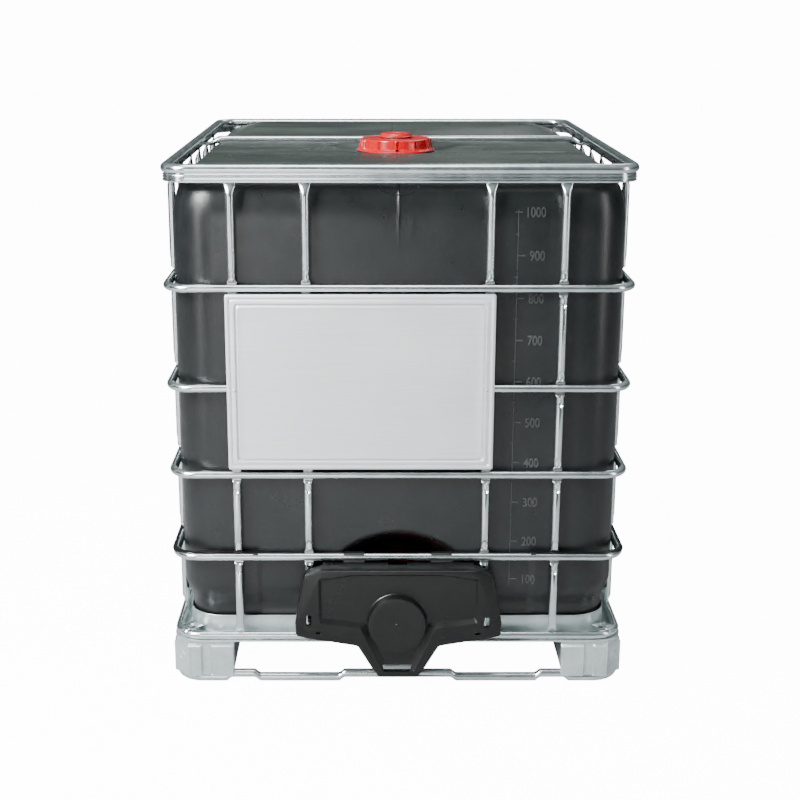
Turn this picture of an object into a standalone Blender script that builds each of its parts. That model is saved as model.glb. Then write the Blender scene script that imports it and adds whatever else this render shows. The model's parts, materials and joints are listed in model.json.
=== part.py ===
"""Intermediate bulk container: black plastic bottle in a galvanised tube cage on a steel pallet.

Metres, +Z up. The origin is on the floor under the centre of the pallet. The front, with the outlet
valve, faces -Y. Each function below makes one sub-part or one family of equal sub-parts.
"""
import math

import bmesh
import bpy
from mathutils import Matrix, Vector

# Driving dimensions of the whole container.
HALF_WIDTH = 0.500             # half the size over the top rail and the feet along X
HALF_LENGTH = 0.600            # half the size over the top rail and the feet along Y
RAIL_TOP = 1.160               # the rail that the next container is stacked on
GAP = 0.0003                   # left between faces that touch
OUTER_CORNER = 0.060           # corner radius over the tubes of the cage
CAGE_OUTSET = 0.003            # the hoops and the uprights stand this far outside the rail
PALLET_HALF_WIDTH = 0.505
PALLET_HALF_LENGTH = 0.605

# Cage tubes.
HOOP_RADIUS = 0.009
HOOP_HEIGHTS = {"hoop_top": 0.901, "hoop_upper": 0.684, "hoop_lower": 0.490, "hoop_guarded": 0.300}
BASE_HOOP_HEIGHT = 0.1125
UPRIGHT_RADIUS = 0.0087
UPRIGHT_INSET = 0.0057         # from the rail's outer face to an upright's axis
PRESSED_HALF = 0.0118          # an upright is pressed flat this far above and below a hoop
NOTCH_HALF = 0.0108            # a hoop is pressed flat this far to each side of an upright
NOTCH_OFFSET = 0.0002          # from the hoop's axis out to its pressed face
UPRIGHT_BOTTOM = 0.1045
UPRIGHT_TOP = 1.1365
FRONT_UPRIGHTS = (-0.352, -0.197, 0.1895, 0.3445)
SIDE_UPRIGHT_PITCH = 0.170
SIDE_UPRIGHTS = tuple((place - 2.5) * SIDE_UPRIGHT_PITCH for place in range(6))

# Top rail: a round tube over a flat band.
RAIL_RADIUS = 0.011
BAND_BOTTOM = 1.122
BAND_SETBACK = 0.004
BAND_THICKNESS = 0.0025

# Cross bar over the bottle, behind the lid.
BAR_Y = 0.182
BAR_Z = 1.1400
BAR_RADIUS = 0.009
BAR_STRAIGHT = 0.450
BAR_BEND = 0.474
BAR_BOLT_Z = 1.1280
BOLT_HOLE_RADIUS = 0.0043

# Bottle.
BOTTLE_HALF_WIDTH = 0.484
BOTTLE_HALF_LENGTH = 0.579
BOTTLE_TOP = 1.128
BOTTLE_WALL = 0.003
BOTTLE_CORNER = 0.092
BOTTLE_TOP_ROUND = 0.065
BOTTLE_WAIST = 0.165           # above the pallet's tray it widens to its full size
BOTTLE_FOOT_INSET = 0.017      # the part that stands in the tray is this much smaller all round
BOTTLE_FOOT_ROUND = 0.050
DOME_ROUND = 0.011
DOME_CORNER = 0.060
DOME_HALF_WIDTH = 0.410
DOMES = ((-0.520, -0.115, 1.140), (0.215, 0.520, 1.157))     # start and end along Y, and height
STUB_RADIUS = 0.0365
STUB_END = -0.487
NECK_RADIUS = 0.0765
NECK_BORE = 0.0700
NECK_TOP = 1.1535
RECESS_RADIUS = 0.183          # at the bottle's front face
RECESS_BACK_RADIUS = 0.118
RECESS_BACK = -0.457

# Lid and vent plug.
LID_BOTTOM = 1.1305
LID_TOP = 1.160
LID_FLANGE_RADIUS = 0.095
LID_TOP_RADIUS = 0.084
LID_BORE = 0.0815
LID_CEILING = 1.1565
LID_RIBS = 12
VENT_HOLE = 0.0300
VENT_HEAD_RADIUS = 0.040
VENT_TOP = 1.172

# Outlet valve: everything is turned about an axis along Y.
VALVE_Z = 0.166
STEM_Y = -0.535
OUTLET_BORE = 0.0235
BALL_RADIUS = 0.033
BALL_BORE = 0.0215
STEM_RADIUS = 0.0074
STEM_HOLE = 0.0078
STEM_BOSS_TOP = 0.2215
HANDLE_BOTTOM = 0.2220
HANDLE_TOP = 0.2460
HANDLE_REACH = 0.088

# Valve flap, hung on the guarded hoop.
FLAP_FRONT = -0.650
FLAP_BACK = -0.612
FLAP_WALL = 0.0035
FLAP_BOSS_FRONT = -0.665
FLAP_BOSS_RADIUS = 0.063
FLAP_HALF_OUTLINE = ((0.168, 0.289), (0.208, 0.273), (0.227, 0.162), (0.224, 0.141), (0.086, 0.111),
                     (0.0445, 0.034))
CLIP_CENTRES = (-0.098, 0.095)
CLIP_WIDTH = 0.046
CLIP_BORE = 0.0094
CLIP_OUTSIDE = 0.0125

# Guard strip over the guarded hoop.
STRIP_BORE = 0.0096
STRIP_OUTSIDE = 0.0114
STRIP_ARC = (22, 84)           # degrees above the outward direction
STRIP_START_X = -0.321
STRIP_END_X = 0.304

# Label plate.
LABEL_LOW = Vector((-0.367, -0.6125, 0.507))
LABEL_HIGH = Vector((0.2025, -0.6033, 0.891))
LABEL_BORDER = 0.024
LABEL_SHEET = 0.0012
LABEL_PANEL_FRONT = -0.6107
LABEL_BACK = -0.6091

# Pallet.
DECK_BOTTOM = 0.0995
DECK_TOP = 0.1022
TRAY_HALF_WIDTH = 0.4715
TRAY_HALF_LENGTH = 0.5715
TRAY_WALL_TOP = 0.155
TRAY_CORNER = 0.078
TRAY_SHEET = 0.0015
TRAY_NOTCH_BOTTOM = 0.1135     # in front of the valve
FOOT_TOP = 0.0992
FOOT_SHEET = 0.002
CORNER_FOOT_WIDTH = 0.138
CORNER_FOOT_LENGTH = 0.150
CORNER_FOOT_BOTTOM = 0.015
RUNNER_RADIUS = 0.0098
RUNNER_INSET = 0.008           # from under the rail's outer face to the runner's axis
RUNNER_LIFT = 0.009
RUNNER_JOGGLE = 0.012
RUNNER_RAISED_MIDDLE = 0.119
RUNNER_RAISED_CORNER = (0.120, 0.178)
MIDDLE_FOOT_BOTTOM = 2 * RUNNER_RADIUS + RUNNER_LIFT + GAP
END_FOOT_HALF = 0.038
SIDE_FOOT_HALF = 0.075
MIDDLE_FOOT_DEPTH = 0.100
CENTRE_FOOT_HALF = 0.060

PARTS = "intermediate_bulk_container"
CUTTERS = "cutters"


def clear_scene():
    """Remove everything in the file and make the two collections."""
    for thing in list(bpy.data.objects):
        bpy.data.objects.remove(thing)
    for name in (PARTS, CUTTERS):
        collection = bpy.data.collections.new(name)
        bpy.context.scene.collection.children.link(collection)


def material(name, colour, roughness, metallic=0.0):
    """Return the named Principled material, made on first use."""
    found = bpy.data.materials.get(name)
    if found:
        return found
    made = bpy.data.materials.new(name)
    made.use_nodes = True
    shader = made.node_tree.nodes["Principled BSDF"]
    shader.inputs["Base Color"].default_value = (*colour, 1.0)
    shader.inputs["Roughness"].default_value = roughness
    shader.inputs["Metallic"].default_value = metallic
    made.diffuse_color = (*colour, 1.0)
    return made


def galvanised():
    return material("galvanised_steel", (0.72, 0.76, 0.79), 0.32, 1.0)


def zinc_sheet():
    return material("zinc_sheet", (0.74, 0.77, 0.80), 0.42, 1.0)


def bottle_plastic():
    return material("black_bottle_plastic", (0.030, 0.034, 0.037), 0.45)


def black_plastic():
    return material("black_plastic", (0.018, 0.020, 0.022), 0.38)


def red_plastic():
    return material("red_plastic", (0.62, 0.035, 0.030), 0.40)


def rubber():
    return material("rubber", (0.020, 0.020, 0.020), 0.75)


def seat_plastic():
    return material("seat_plastic", (0.86, 0.86, 0.83), 0.45)


def link(thing, collection, surface=None):
    """Put an object in one of the two collections and give it its material."""
    bpy.data.collections[collection].objects.link(thing)
    if surface:
        thing.data.materials.append(surface)
    if collection == CUTTERS:
        thing.hide_render = True
        thing.display_type = "WIRE"
    return thing


def mesh_object(name, shape, surface=None, collection=PARTS):
    """Turn a bmesh into an object."""
    mesh = bpy.data.meshes.new(name)
    shape.to_mesh(mesh)
    shape.free()
    return link(bpy.data.objects.new(name, mesh), collection, surface)


def as_mesh(thing, surface=None, collection=PARTS):
    """Replace a curve object by the same shape as a mesh object with welded caps."""
    graph = bpy.context.evaluated_depsgraph_get()
    mesh = bpy.data.meshes.new_from_object(thing.evaluated_get(graph))
    shape = bmesh.new()
    shape.from_mesh(mesh)
    bmesh.ops.remove_doubles(shape, verts=shape.verts, dist=1e-6)
    bmesh.ops.recalc_face_normals(shape, faces=shape.faces)
    shape.to_mesh(mesh)
    shape.free()
    mesh.materials.clear()
    name = thing.name
    matrix = thing.matrix_world.copy()
    bpy.data.objects.remove(thing)
    made = bpy.data.objects.new(name, mesh)
    made.matrix_world = matrix
    return link(made, collection, surface)


def boolean(thing, other, operation):
    """Cut or join a second object into the first with an exact Boolean modifier."""
    step = thing.modifiers.new(other.name, "BOOLEAN")
    step.operation = operation
    step.solver = "EXACT"
    step.object = other


def cut(thing, *cutters):
    for cutter in cutters:
        boolean(thing, cutter, "DIFFERENCE")
    return thing


def join(thing, *pieces):
    for piece in pieces:
        boolean(thing, piece, "UNION")
    return thing


def smooth(thing, angle=35):
    """Shade round faces smooth and keep edges sharper than the angle."""
    thing.data.shade_smooth()
    thing.data.set_sharp_from_angle(angle=math.radians(angle))
    return thing


def block_shape(low, high):
    """A box between two corners, as a bmesh."""
    low = Vector(low)
    high = Vector(high)
    shape = bmesh.new()
    bmesh.ops.create_cube(shape, size=1.0)
    bmesh.ops.scale(shape, vec=high - low, verts=shape.verts)
    bmesh.ops.translate(shape, vec=(low + high) / 2, verts=shape.verts)
    return shape


def block(name, low, high, surface=None, collection=PARTS):
    return mesh_object(name, block_shape(low, high), surface, collection)


def box_cutter(name, low, high):
    return block(name, low, high, collection=CUTTERS)


def round_edges(shape, wanted, radius, segments):
    """Round the edges for which wanted(edge) is true."""
    edges = [edge for edge in shape.edges if wanted(edge)]
    bmesh.ops.bevel(shape, geom=edges, offset=radius, segments=segments, profile=0.5,
                    affect="EDGES", clamp_overlap=False)


def is_upright(edge):
    ends = edge.verts
    return abs(ends[0].co.z - ends[1].co.z) > 0.9 * edge.calc_length()


def rounded_block_shape(half_x, half_y, bottom, top, corner, segments=5, top_round=0.0,
                        bottom_round=0.0, rim_segments=3):
    """A box centred on the Z axis with round vertical corners and, if asked, round rims."""
    shape = block_shape((-half_x, -half_y, bottom), (half_x, half_y, top))
    round_edges(shape, is_upright, corner, segments)
    for height, radius in ((top, top_round), (bottom, bottom_round)):
        if radius:
            def on_rim(edge, height=height):
                return all(abs(end.co.z - height) < 1e-5 for end in edge.verts)
            round_edges(shape, on_rim, radius, rim_segments)
    return shape


def rounded_block(name, *sizes, surface=None, collection=PARTS, **rounds):
    return mesh_object(name, rounded_block_shape(*sizes, **rounds), surface, collection)


def cylinder(name, radius, start, end, sides=24, surface=None, collection=PARTS, end_radius=None):
    """A cylinder, or a cone, from one point to another."""
    start = Vector(start)
    end = Vector(end)
    shape = bmesh.new()
    bmesh.ops.create_cone(shape, cap_ends=True, segments=sides, radius1=radius,
                          radius2=radius if end_radius is None else end_radius,
                          depth=(end - start).length)
    turn = (end - start).to_track_quat("Z", "Y").to_matrix().to_4x4()
    bmesh.ops.transform(shape, matrix=Matrix.Translation((start + end) / 2) @ turn, verts=shape.verts)
    return mesh_object(name, shape, surface, collection)


def turned(name, profile, surface=None, closed=False, steps=32, collection=PARTS, place=(0, 0, 0),
           forward=False):
    """Turn a profile of (radius, height) points, which runs down its outer side, about local Z.

    A closed profile makes a ring. With forward set, local Z points to the front, along -Y.
    """
    mesh = bpy.data.meshes.new(name)
    points = [(radius, 0.0, height) for radius, height in profile]
    edges = [(index, index + 1) for index in range(len(points) - 1)]
    if closed:
        edges.append((len(points) - 1, 0))
    mesh.from_pydata(points, edges, [])
    thing = link(bpy.data.objects.new(name, mesh), collection, surface)
    thing.location = place
    if forward:
        thing.rotation_euler = (math.pi / 2, 0, 0)
    lathe = thing.modifiers.new("turn", "SCREW")
    lathe.steps = steps
    lathe.render_steps = steps
    lathe.use_merge_vertices = True
    lathe.merge_threshold = 1e-5
    lathe.use_smooth_shade = True
    return thing


def ring(name, inner, outer, bottom, top, surface, **options):
    """A plain ring of rectangular section."""
    profile = ((outer, top), (outer, bottom), (inner, bottom), (inner, top))
    return turned(name, profile, surface, closed=True, **options)


def corner_arc(centre, radius, start, segments=3):
    """Points of a quarter circle in plan, from the start angle in degrees, turning left."""
    points = []
    for step in range(segments + 1):
        angle = math.radians(start + 90 * step / segments)
        points.append((centre[0] + radius * math.cos(angle), centre[1] + radius * math.sin(angle)))
    return points


def hoop_path(inset, height, outer_corner=OUTER_CORNER):
    """A rounded rectangle, set in from the outer faces of the cage, as 3-D points."""
    radius = outer_corner - inset
    across = HALF_WIDTH - outer_corner
    along = HALF_LENGTH - outer_corner
    centres = ((across, along), (-across, along), (-across, -along), (across, -along))
    points = []
    for quarter, centre in enumerate(centres):
        points += corner_arc(centre, radius, 90 * quarter)
    return [(x, y, height) for x, y in points]


def poly_curve(name, points, cyclic):
    """A curve object of straight stretches through the points."""
    curve = bpy.data.curves.new(name, "CURVE")
    curve.dimensions = "3D"
    curve.twist_mode = "Z_UP"
    spline = curve.splines.new("POLY")
    spline.points.add(len(points) - 1)
    for point, place in zip(spline.points, points):
        point.co = (*place, 1.0)
    spline.use_cyclic_u = cyclic
    return bpy.data.objects.new(name, curve)


def tube(name, points, radius, surface=None, cyclic=False, collection=PARTS, resolution=2):
    """A round tube along the points, as a mesh object."""
    thing = link(poly_curve(name, points, cyclic), collection, None)
    thing.data.bevel_depth = radius
    thing.data.bevel_resolution = resolution
    thing.data.use_fill_caps = not cyclic
    return smooth(as_mesh(thing, surface, collection), 50)


def swept(name, points, section, surface, cyclic):
    """A section of (outward, up) points carried along a path that turns left in plan."""
    profile = poly_curve(name + "_section", [(out, up, 0) for out, up in section], True)
    link(profile, CUTTERS)
    thing = link(poly_curve(name, points, cyclic), PARTS)
    thing.data.bevel_mode = "OBJECT"
    thing.data.bevel_object = profile
    thing.data.use_fill_caps = not cyclic
    made = as_mesh(thing, surface)
    bpy.data.objects.remove(profile)
    return made


def flat_outline(name, outline, thickness, surface=None, collection=PARTS):
    """A flat outline of (x, y) points with a thickness, centred on local Z = 0, as a mesh object."""
    thing = poly_curve(name, [(x, y, 0) for x, y in outline], True)
    thing.data.dimensions = "2D"
    thing.data.fill_mode = "BOTH"
    thing.data.extrude = thickness / 2
    link(thing, collection)
    return as_mesh(thing, surface, collection)


def arc(radius, start, end, segments):
    """Points of a circle about the origin between two angles in degrees."""
    points = []
    for step in range(segments + 1):
        angle = math.radians(start + (end - start) * step / segments)
        points.append((radius * math.cos(angle), radius * math.sin(angle)))
    return points


def bottle_levels(shrink):
    """Heights of the bottle's rings with how far each is set in from the full size."""
    bottom = DECK_TOP + GAP
    foot_in = BOTTLE_FOOT_INSET
    levels = []
    for step in range(5):
        angle = math.radians(90 * step / 4)
        round_size = BOTTLE_FOOT_ROUND - shrink
        levels.append((bottom + BOTTLE_FOOT_ROUND - round_size * math.cos(angle),
                       foot_in + BOTTLE_FOOT_ROUND - round_size * math.sin(angle)))
    levels += [(BOTTLE_WAIST, foot_in + shrink), (BOTTLE_WAIST + 0.015, 0.6 * foot_in + shrink),
               (BOTTLE_WAIST + 0.035, 0.15 * foot_in + shrink), (BOTTLE_WAIST + 0.055, shrink)]
    for step in range(5):
        angle = math.radians(90 * step / 4)
        round_size = BOTTLE_TOP_ROUND - shrink
        levels.append((BOTTLE_TOP - BOTTLE_TOP_ROUND + round_size * math.sin(angle),
                       BOTTLE_TOP_ROUND - round_size * math.cos(angle)))
    return levels


def bottle_block(name, shrink, collection, surface=None):
    """The bottle's outline without its neck and recess, smaller by shrink on every side."""
    shape = bmesh.new()
    rings = []
    across = BOTTLE_HALF_WIDTH - BOTTLE_CORNER
    along = BOTTLE_HALF_LENGTH - BOTTLE_CORNER
    centres = ((across, along), (-across, along), (-across, -along), (across, -along))
    for height, back in bottle_levels(shrink):
        points = []
        for quarter, centre in enumerate(centres):
            points += corner_arc(centre, BOTTLE_CORNER - back, 90 * quarter, 5)
        rings.append([shape.verts.new((x, y, height)) for x, y in points])
    shape.faces.new(reversed(rings[0]))
    shape.faces.new(rings[-1])
    count = len(rings[0])
    for lower, upper in zip(rings, rings[1:]):
        for index in range(count):
            after = (index + 1) % count
            shape.faces.new((lower[index], lower[after], upper[after], upper[index]))
    body = mesh_object(name, shape, surface, collection)
    for index, (near, far, top) in enumerate(DOMES):
        dome = rounded_block(f"{name}_dome_{index}", DOME_HALF_WIDTH - shrink, (far - near) / 2 - shrink,
                             BOTTLE_TOP - 0.030, top - shrink, DOME_CORNER - shrink, collection=CUTTERS,
                             segments=3, top_round=DOME_ROUND - shrink, rim_segments=2)
        dome.location.y = (near + far) / 2
        join(body, dome)
    return body


def make_bottle():
    """Blow-moulded bottle with a filling neck, a valve recess and an outlet stub."""
    bottle = bottle_block("bottle", 0.0, PARTS, bottle_plastic())
    inside = bottle_block("bottle_inside", BOTTLE_WALL, CUTTERS)
    mouth_y = -BOTTLE_HALF_LENGTH - 0.02
    slope = (RECESS_RADIUS - RECESS_BACK_RADIUS) / (BOTTLE_HALF_LENGTH + RECESS_BACK)
    mouth_radius = RECESS_RADIUS + slope * 0.02
    recess = cylinder("valve_recess", mouth_radius, (0, mouth_y, VALVE_Z), (0, RECESS_BACK, VALVE_Z),
                      sides=32, collection=CUTTERS, end_radius=RECESS_BACK_RADIUS)
    recess_skin = cylinder("recess_skin", mouth_radius + BOTTLE_WALL, (0, mouth_y, VALVE_Z),
                           (0, RECESS_BACK + BOTTLE_WALL, VALVE_Z), sides=32, collection=CUTTERS,
                           end_radius=RECESS_BACK_RADIUS + BOTTLE_WALL)
    cut(inside, recess_skin)
    cut(bottle, recess, inside)
    neck = cylinder("neck_outside", NECK_RADIUS, (0, 0, BOTTLE_TOP - BOTTLE_WALL), (0, 0, NECK_TOP),
                    sides=36, collection=CUTTERS)
    mouth = cylinder("neck_bore", NECK_BORE, (0, 0, BOTTLE_TOP - 0.02), (0, 0, NECK_TOP + 0.01),
                     sides=36, collection=CUTTERS)
    stub = cylinder("stub_outside", STUB_RADIUS, (0, RECESS_BACK + BOTTLE_WALL, VALVE_Z),
                    (0, STUB_END, VALVE_Z), sides=24, collection=CUTTERS)
    stub_bore = cylinder("stub_bore", OUTLET_BORE, (0, RECESS_BACK + 0.02, VALVE_Z),
                         (0, STUB_END - 0.013, VALVE_Z), sides=24, collection=CUTTERS)
    join(bottle, neck, stub)
    return smooth(cut(bottle, mouth, stub_bore))


def make_lid():
    """Screw lid with a flared flange and grip ribs, its gasket, and the vent plug with its own gasket."""
    boss_bottom = 1.1480
    outside = ((LID_TOP_RADIUS - 0.004, LID_TOP), (LID_TOP_RADIUS, LID_TOP - 0.003),
               (0.0865, LID_BOTTOM + 0.009), (LID_FLANGE_RADIUS - 0.001, LID_BOTTOM + 0.004),
               (LID_FLANGE_RADIUS, LID_BOTTOM))
    inside = ((LID_BORE, LID_BOTTOM), (LID_BORE, LID_CEILING), (0.0345, LID_CEILING),
              (0.0345, boss_bottom), (VENT_HOLE, boss_bottom), (VENT_HOLE, LID_TOP))
    lid = turned("lid", outside + inside, red_plastic(), closed=True, steps=36)
    spacing = 2 * math.pi / LID_RIBS
    for index in range(LID_RIBS):
        rib = box_cutter(f"lid_rib_{index}", (0.0835, -0.003, LID_BOTTOM + 0.002),
                         (0.0905, 0.003, LID_TOP - 0.004))
        rib.rotation_euler = (0, 0, (index + 0.5) * spacing)
        join(lid, rib)
    ring("lid_gasket", NECK_BORE + 0.0005, 0.0808, NECK_TOP + GAP, LID_CEILING - GAP, rubber(), steps=24)
    plug = ((0, VENT_TOP), (VENT_HEAD_RADIUS - 0.003, VENT_TOP), (VENT_HEAD_RADIUS, VENT_TOP - 0.003),
            (VENT_HEAD_RADIUS, 1.1626), (0.0292, 1.1626), (0.0292, boss_bottom + 0.001),
            (0, boss_bottom + 0.001))
    turned("vent_plug", plug, red_plastic(), steps=28)
    ring("vent_plug_gasket", 0.0303, 0.0385, LID_TOP + GAP, 1.1623, rubber(), steps=24)


def along_axis(y):
    """Height above the turned parts' own origin, which is on the valve axis at Y = 0."""
    return -y


def axial_ring(name, inner, outer, back, front, surface, steps=24):
    """A ring about the valve axis between two Y positions."""
    return ring(name, inner, outer, along_axis(back), along_axis(front), surface, steps=steps,
                place=(0, 0, VALVE_Z), forward=True)


def axial(name, profile, surface, closed=True, steps=24):
    """A piece turned about the valve axis from (radius, Y) points that run back along its outside."""
    turned_profile = [(radius, along_axis(y)) for radius, y in profile]
    return turned(name, turned_profile, surface, closed=closed, steps=steps, place=(0, 0, VALVE_Z),
                  forward=True)


def make_union():
    """Nut and gasket that hold the valve on the bottle's outlet stub."""
    axial_ring("union_gasket", 0.0255, 0.0360, -0.4873, -0.4898, rubber())
    profile = ((0.0470, -0.5010), (0.0485, -0.4960), (0.0485, -0.4700), (0.0370, -0.4700),
               (0.0370, -0.4962), (0.0300, -0.4962), (0.0300, -0.5010))
    axial("union_nut", profile, black_plastic())


def make_valve():
    """Ball valve: body, ball between two seats, stem with its seal, handle and screwed-in outlet."""
    centre = Vector((0, STEM_Y, VALVE_Z))
    profile = ((0.0400, -0.5800), (0.0400, -0.5058), (0.0295, -0.5016), (0.0295, -0.4956),
               (0.0360, -0.4956), (0.0360, -0.4901), (OUTLET_BORE, -0.4901), (OUTLET_BORE, -0.5078),
               (0.0338, -0.5078), (0.0338, -0.5800))
    body = axial("valve_body", profile, black_plastic())
    boss = cylinder("stem_boss", 0.0150, (0, STEM_Y, VALVE_Z + 0.0360), (0, STEM_Y, STEM_BOSS_TOP),
                    collection=CUTTERS)
    stem_hole = cylinder("stem_hole", STEM_HOLE, (0, STEM_Y, VALVE_Z + 0.020),
                         (0, STEM_Y, STEM_BOSS_TOP + 0.01), sides=20, collection=CUTTERS)
    seal_seat = cylinder("seal_seat", 0.0122, (0, STEM_Y, 0.2150), (0, STEM_Y, STEM_BOSS_TOP + 0.01),
                         collection=CUTTERS)
    cut(join(body, boss), stem_hole, seal_seat)

    seat = ((0.0335, 0.0165), (0.0335, 0.0269), (OUTLET_BORE, 0.0269), (0.0238, 0.0245),
            (0.0300, 0.0165))
    inner = [(radius, STEM_Y + away) for radius, away in seat]
    outer = [(radius, STEM_Y - away) for radius, away in reversed(seat)]
    axial("ball_seat_inner", inner, seat_plastic())
    axial("ball_seat_outer", outer, seat_plastic())

    outlet = ((0.0288, -0.6060), (0.0295, -0.6050), (0.0295, -0.5836), (0.0370, -0.5836),
              (0.0370, -0.5803), (0.0333, -0.5803), (0.0333, -0.5622), (OUTLET_BORE, -0.5622),
              (OUTLET_BORE, -0.6060))
    axial("valve_outlet", outlet, black_plastic())

    shape = bmesh.new()
    bmesh.ops.create_uvsphere(shape, u_segments=20, v_segments=12, radius=BALL_RADIUS)
    ball = mesh_object("valve_ball", shape, seat_plastic())
    ball.location = centre
    reach = BALL_RADIUS + 0.005
    bore = cylinder("ball_bore", BALL_BORE, centre - Vector((reach, 0, 0)), centre + Vector((reach, 0, 0)),
                    collection=CUTTERS)
    pocket = cylinder("ball_pocket", STEM_HOLE, centre + Vector((0, 0, 0.0243)),
                      centre + Vector((0, 0, reach)), sides=20, collection=CUTTERS)
    smooth(cut(ball, bore, pocket), 40)

    stem = ((0, HANDLE_TOP - 0.002), (STEM_RADIUS, HANDLE_TOP - 0.002),
            (STEM_RADIUS, VALVE_Z + 0.0246), (0, VALVE_Z + 0.0246))
    turned("valve_stem", stem, galvanised(), steps=20, place=(0, STEM_Y, 0))
    ring("stem_seal", STEM_HOLE, 0.0119, 0.2153, 0.2210, rubber(), steps=24, place=(0, STEM_Y, 0))
    make_handle()


def make_handle():
    """Lever on the valve stem: a hub with a tapered arm that points to +X when the valve is shut."""
    hub_radius = 0.0165
    tip_radius = 0.0100
    shoulder = math.degrees(math.asin((hub_radius - tip_radius) / HANDLE_REACH))
    outline = arc(hub_radius, 90 - shoulder, 270 + shoulder, 14)
    outline += [(x + HANDLE_REACH - tip_radius, y) for x, y in
                arc(tip_radius, -90 + shoulder, 90 - shoulder, 8)]
    height = HANDLE_TOP - HANDLE_BOTTOM
    handle = flat_outline("valve_handle", outline, height, red_plastic())
    handle.location = (0, STEM_Y, (HANDLE_TOP + HANDLE_BOTTOM) / 2)
    hole = cylinder("handle_hole", STEM_HOLE, (0, STEM_Y, HANDLE_BOTTOM - 0.01),
                    (0, STEM_Y, HANDLE_TOP + 0.01), sides=20, collection=CUTTERS)
    relief = box_cutter("handle_relief", (0.022, STEM_Y - 0.03, HANDLE_BOTTOM - 0.01),
                        (HANDLE_REACH + 0.02, STEM_Y + 0.03, HANDLE_TOP - 0.009))
    smooth(cut(handle, hole, relief), 40)


def make_dust_cap():
    """Screw cap on the outlet, with its gasket disc."""
    cap = ((0, -0.6130), (0.0330, -0.6130), (0.0360, -0.6100), (0.0360, -0.5860), (0.0303, -0.5860),
           (0.0303, -0.6095), (0, -0.6095))
    axial("dust_cap", cap, red_plastic(), closed=False)
    gasket = ((0, -0.6092), (0.0290, -0.6092), (0.0290, -0.6063), (0, -0.6063))
    axial("dust_cap_gasket", gasket, rubber(), closed=False)


def flap_outline():
    """The flap's outline of (x, z) points, the same on both sides of the middle."""
    right = list(FLAP_HALF_OUTLINE)
    left = [(-x, z) for x, z in reversed(right)]
    return right + left


def make_flap():
    """Moulded cover over the valve: a rimmed panel with a hollow boss, and two clips on the hoop."""
    shape = bmesh.new()
    corners = [shape.verts.new((x, FLAP_BACK, z)) for x, z in flap_outline()]
    back = shape.faces.new(corners)
    solid = bmesh.ops.extrude_face_region(shape, geom=[back], use_keep_orig=True)
    moved = [item for item in solid["geom"] if isinstance(item, bmesh.types.BMVert)]
    bmesh.ops.translate(shape, vec=(0, FLAP_FRONT - FLAP_BACK, 0), verts=moved)
    bmesh.ops.recalc_face_normals(shape, faces=shape.faces)
    bmesh.ops.inset_region(shape, faces=[back], thickness=FLAP_WALL, use_even_offset=True)
    hollow = bmesh.ops.extrude_discrete_faces(shape, faces=[back])
    floor = hollow["faces"][0]
    bmesh.ops.translate(shape, vec=(0, FLAP_FRONT + FLAP_WALL - FLAP_BACK, 0), verts=floor.verts)
    flap = mesh_object("flap", shape, black_plastic())

    boss = cylinder("flap_boss", FLAP_BOSS_RADIUS - 0.003, (0, FLAP_BOSS_FRONT, VALVE_Z),
                    (0, FLAP_FRONT + 0.002, VALVE_Z), sides=36, collection=CUTTERS,
                    end_radius=FLAP_BOSS_RADIUS)
    boss_hollow = cylinder("flap_boss_hollow", FLAP_BOSS_RADIUS - 0.008,
                           (0, FLAP_BOSS_FRONT + FLAP_WALL, VALVE_Z), (0, FLAP_BACK, VALVE_Z), sides=36,
                           collection=CUTTERS)
    join(flap, boss)
    cut(flap, boss_hollow)
    hinge_y = -HALF_LENGTH - CAGE_OUTSET + HOOP_RADIUS
    hinge_z = HOOP_HEIGHTS["hoop_guarded"]
    for index, centre in enumerate(CLIP_CENTRES):
        outline = arc(CLIP_OUTSIDE, -135, 135, 12) + arc(CLIP_BORE, 135, -135, 12)
        clip = flat_outline(f"flap_clip_{index}", outline, CLIP_WIDTH, collection=CUTTERS)
        clip.rotation_euler = (math.pi / 2, 0, math.pi / 2)
        clip.location = (centre, hinge_y, hinge_z)
        arm = box_cutter(f"flap_arm_{index}", (centre - CLIP_WIDTH / 2, FLAP_BACK - 0.010, 0.2850),
                         (centre + CLIP_WIDTH / 2, hinge_y - 0.002, 0.2885))
        join(flap, clip, arm)
    return smooth(flap)


def rail_section():
    """The rail's section: a round tube with a flat facet on top, over a band set back from it."""
    corner = RAIL_RADIUS / math.cos(math.radians(15))
    band_out = RAIL_RADIUS - BAND_SETBACK
    band_in = band_out - BAND_THICKNESS
    below = BAND_BOTTOM - (RAIL_TOP - RAIL_RADIUS)
    meets_band = -math.sqrt(corner ** 2 - band_out ** 2)
    round_part = [(band_out, meets_band)] + arc(corner, -15, 255, 9)
    return round_part + [(band_in, meets_band), (band_in, below), (band_out, below)]


def make_top_rail():
    """The stacking rail around the top of the cage, drilled for the two bolts of the cross bar."""
    path = hoop_path(RAIL_RADIUS, RAIL_TOP - RAIL_RADIUS)
    rail = swept("top_rail", path, rail_section(), galvanised(), cyclic=True)
    for side in (-1, 1):
        hole = cylinder(f"rail_hole_{side}", BOLT_HOLE_RADIUS, (side * 0.480, BAR_Y, BAR_BOLT_Z),
                        (side * 0.510, BAR_Y, BAR_BOLT_Z), sides=12, collection=CUTTERS)
        cut(rail, hole)
    return smooth(rail)


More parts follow.
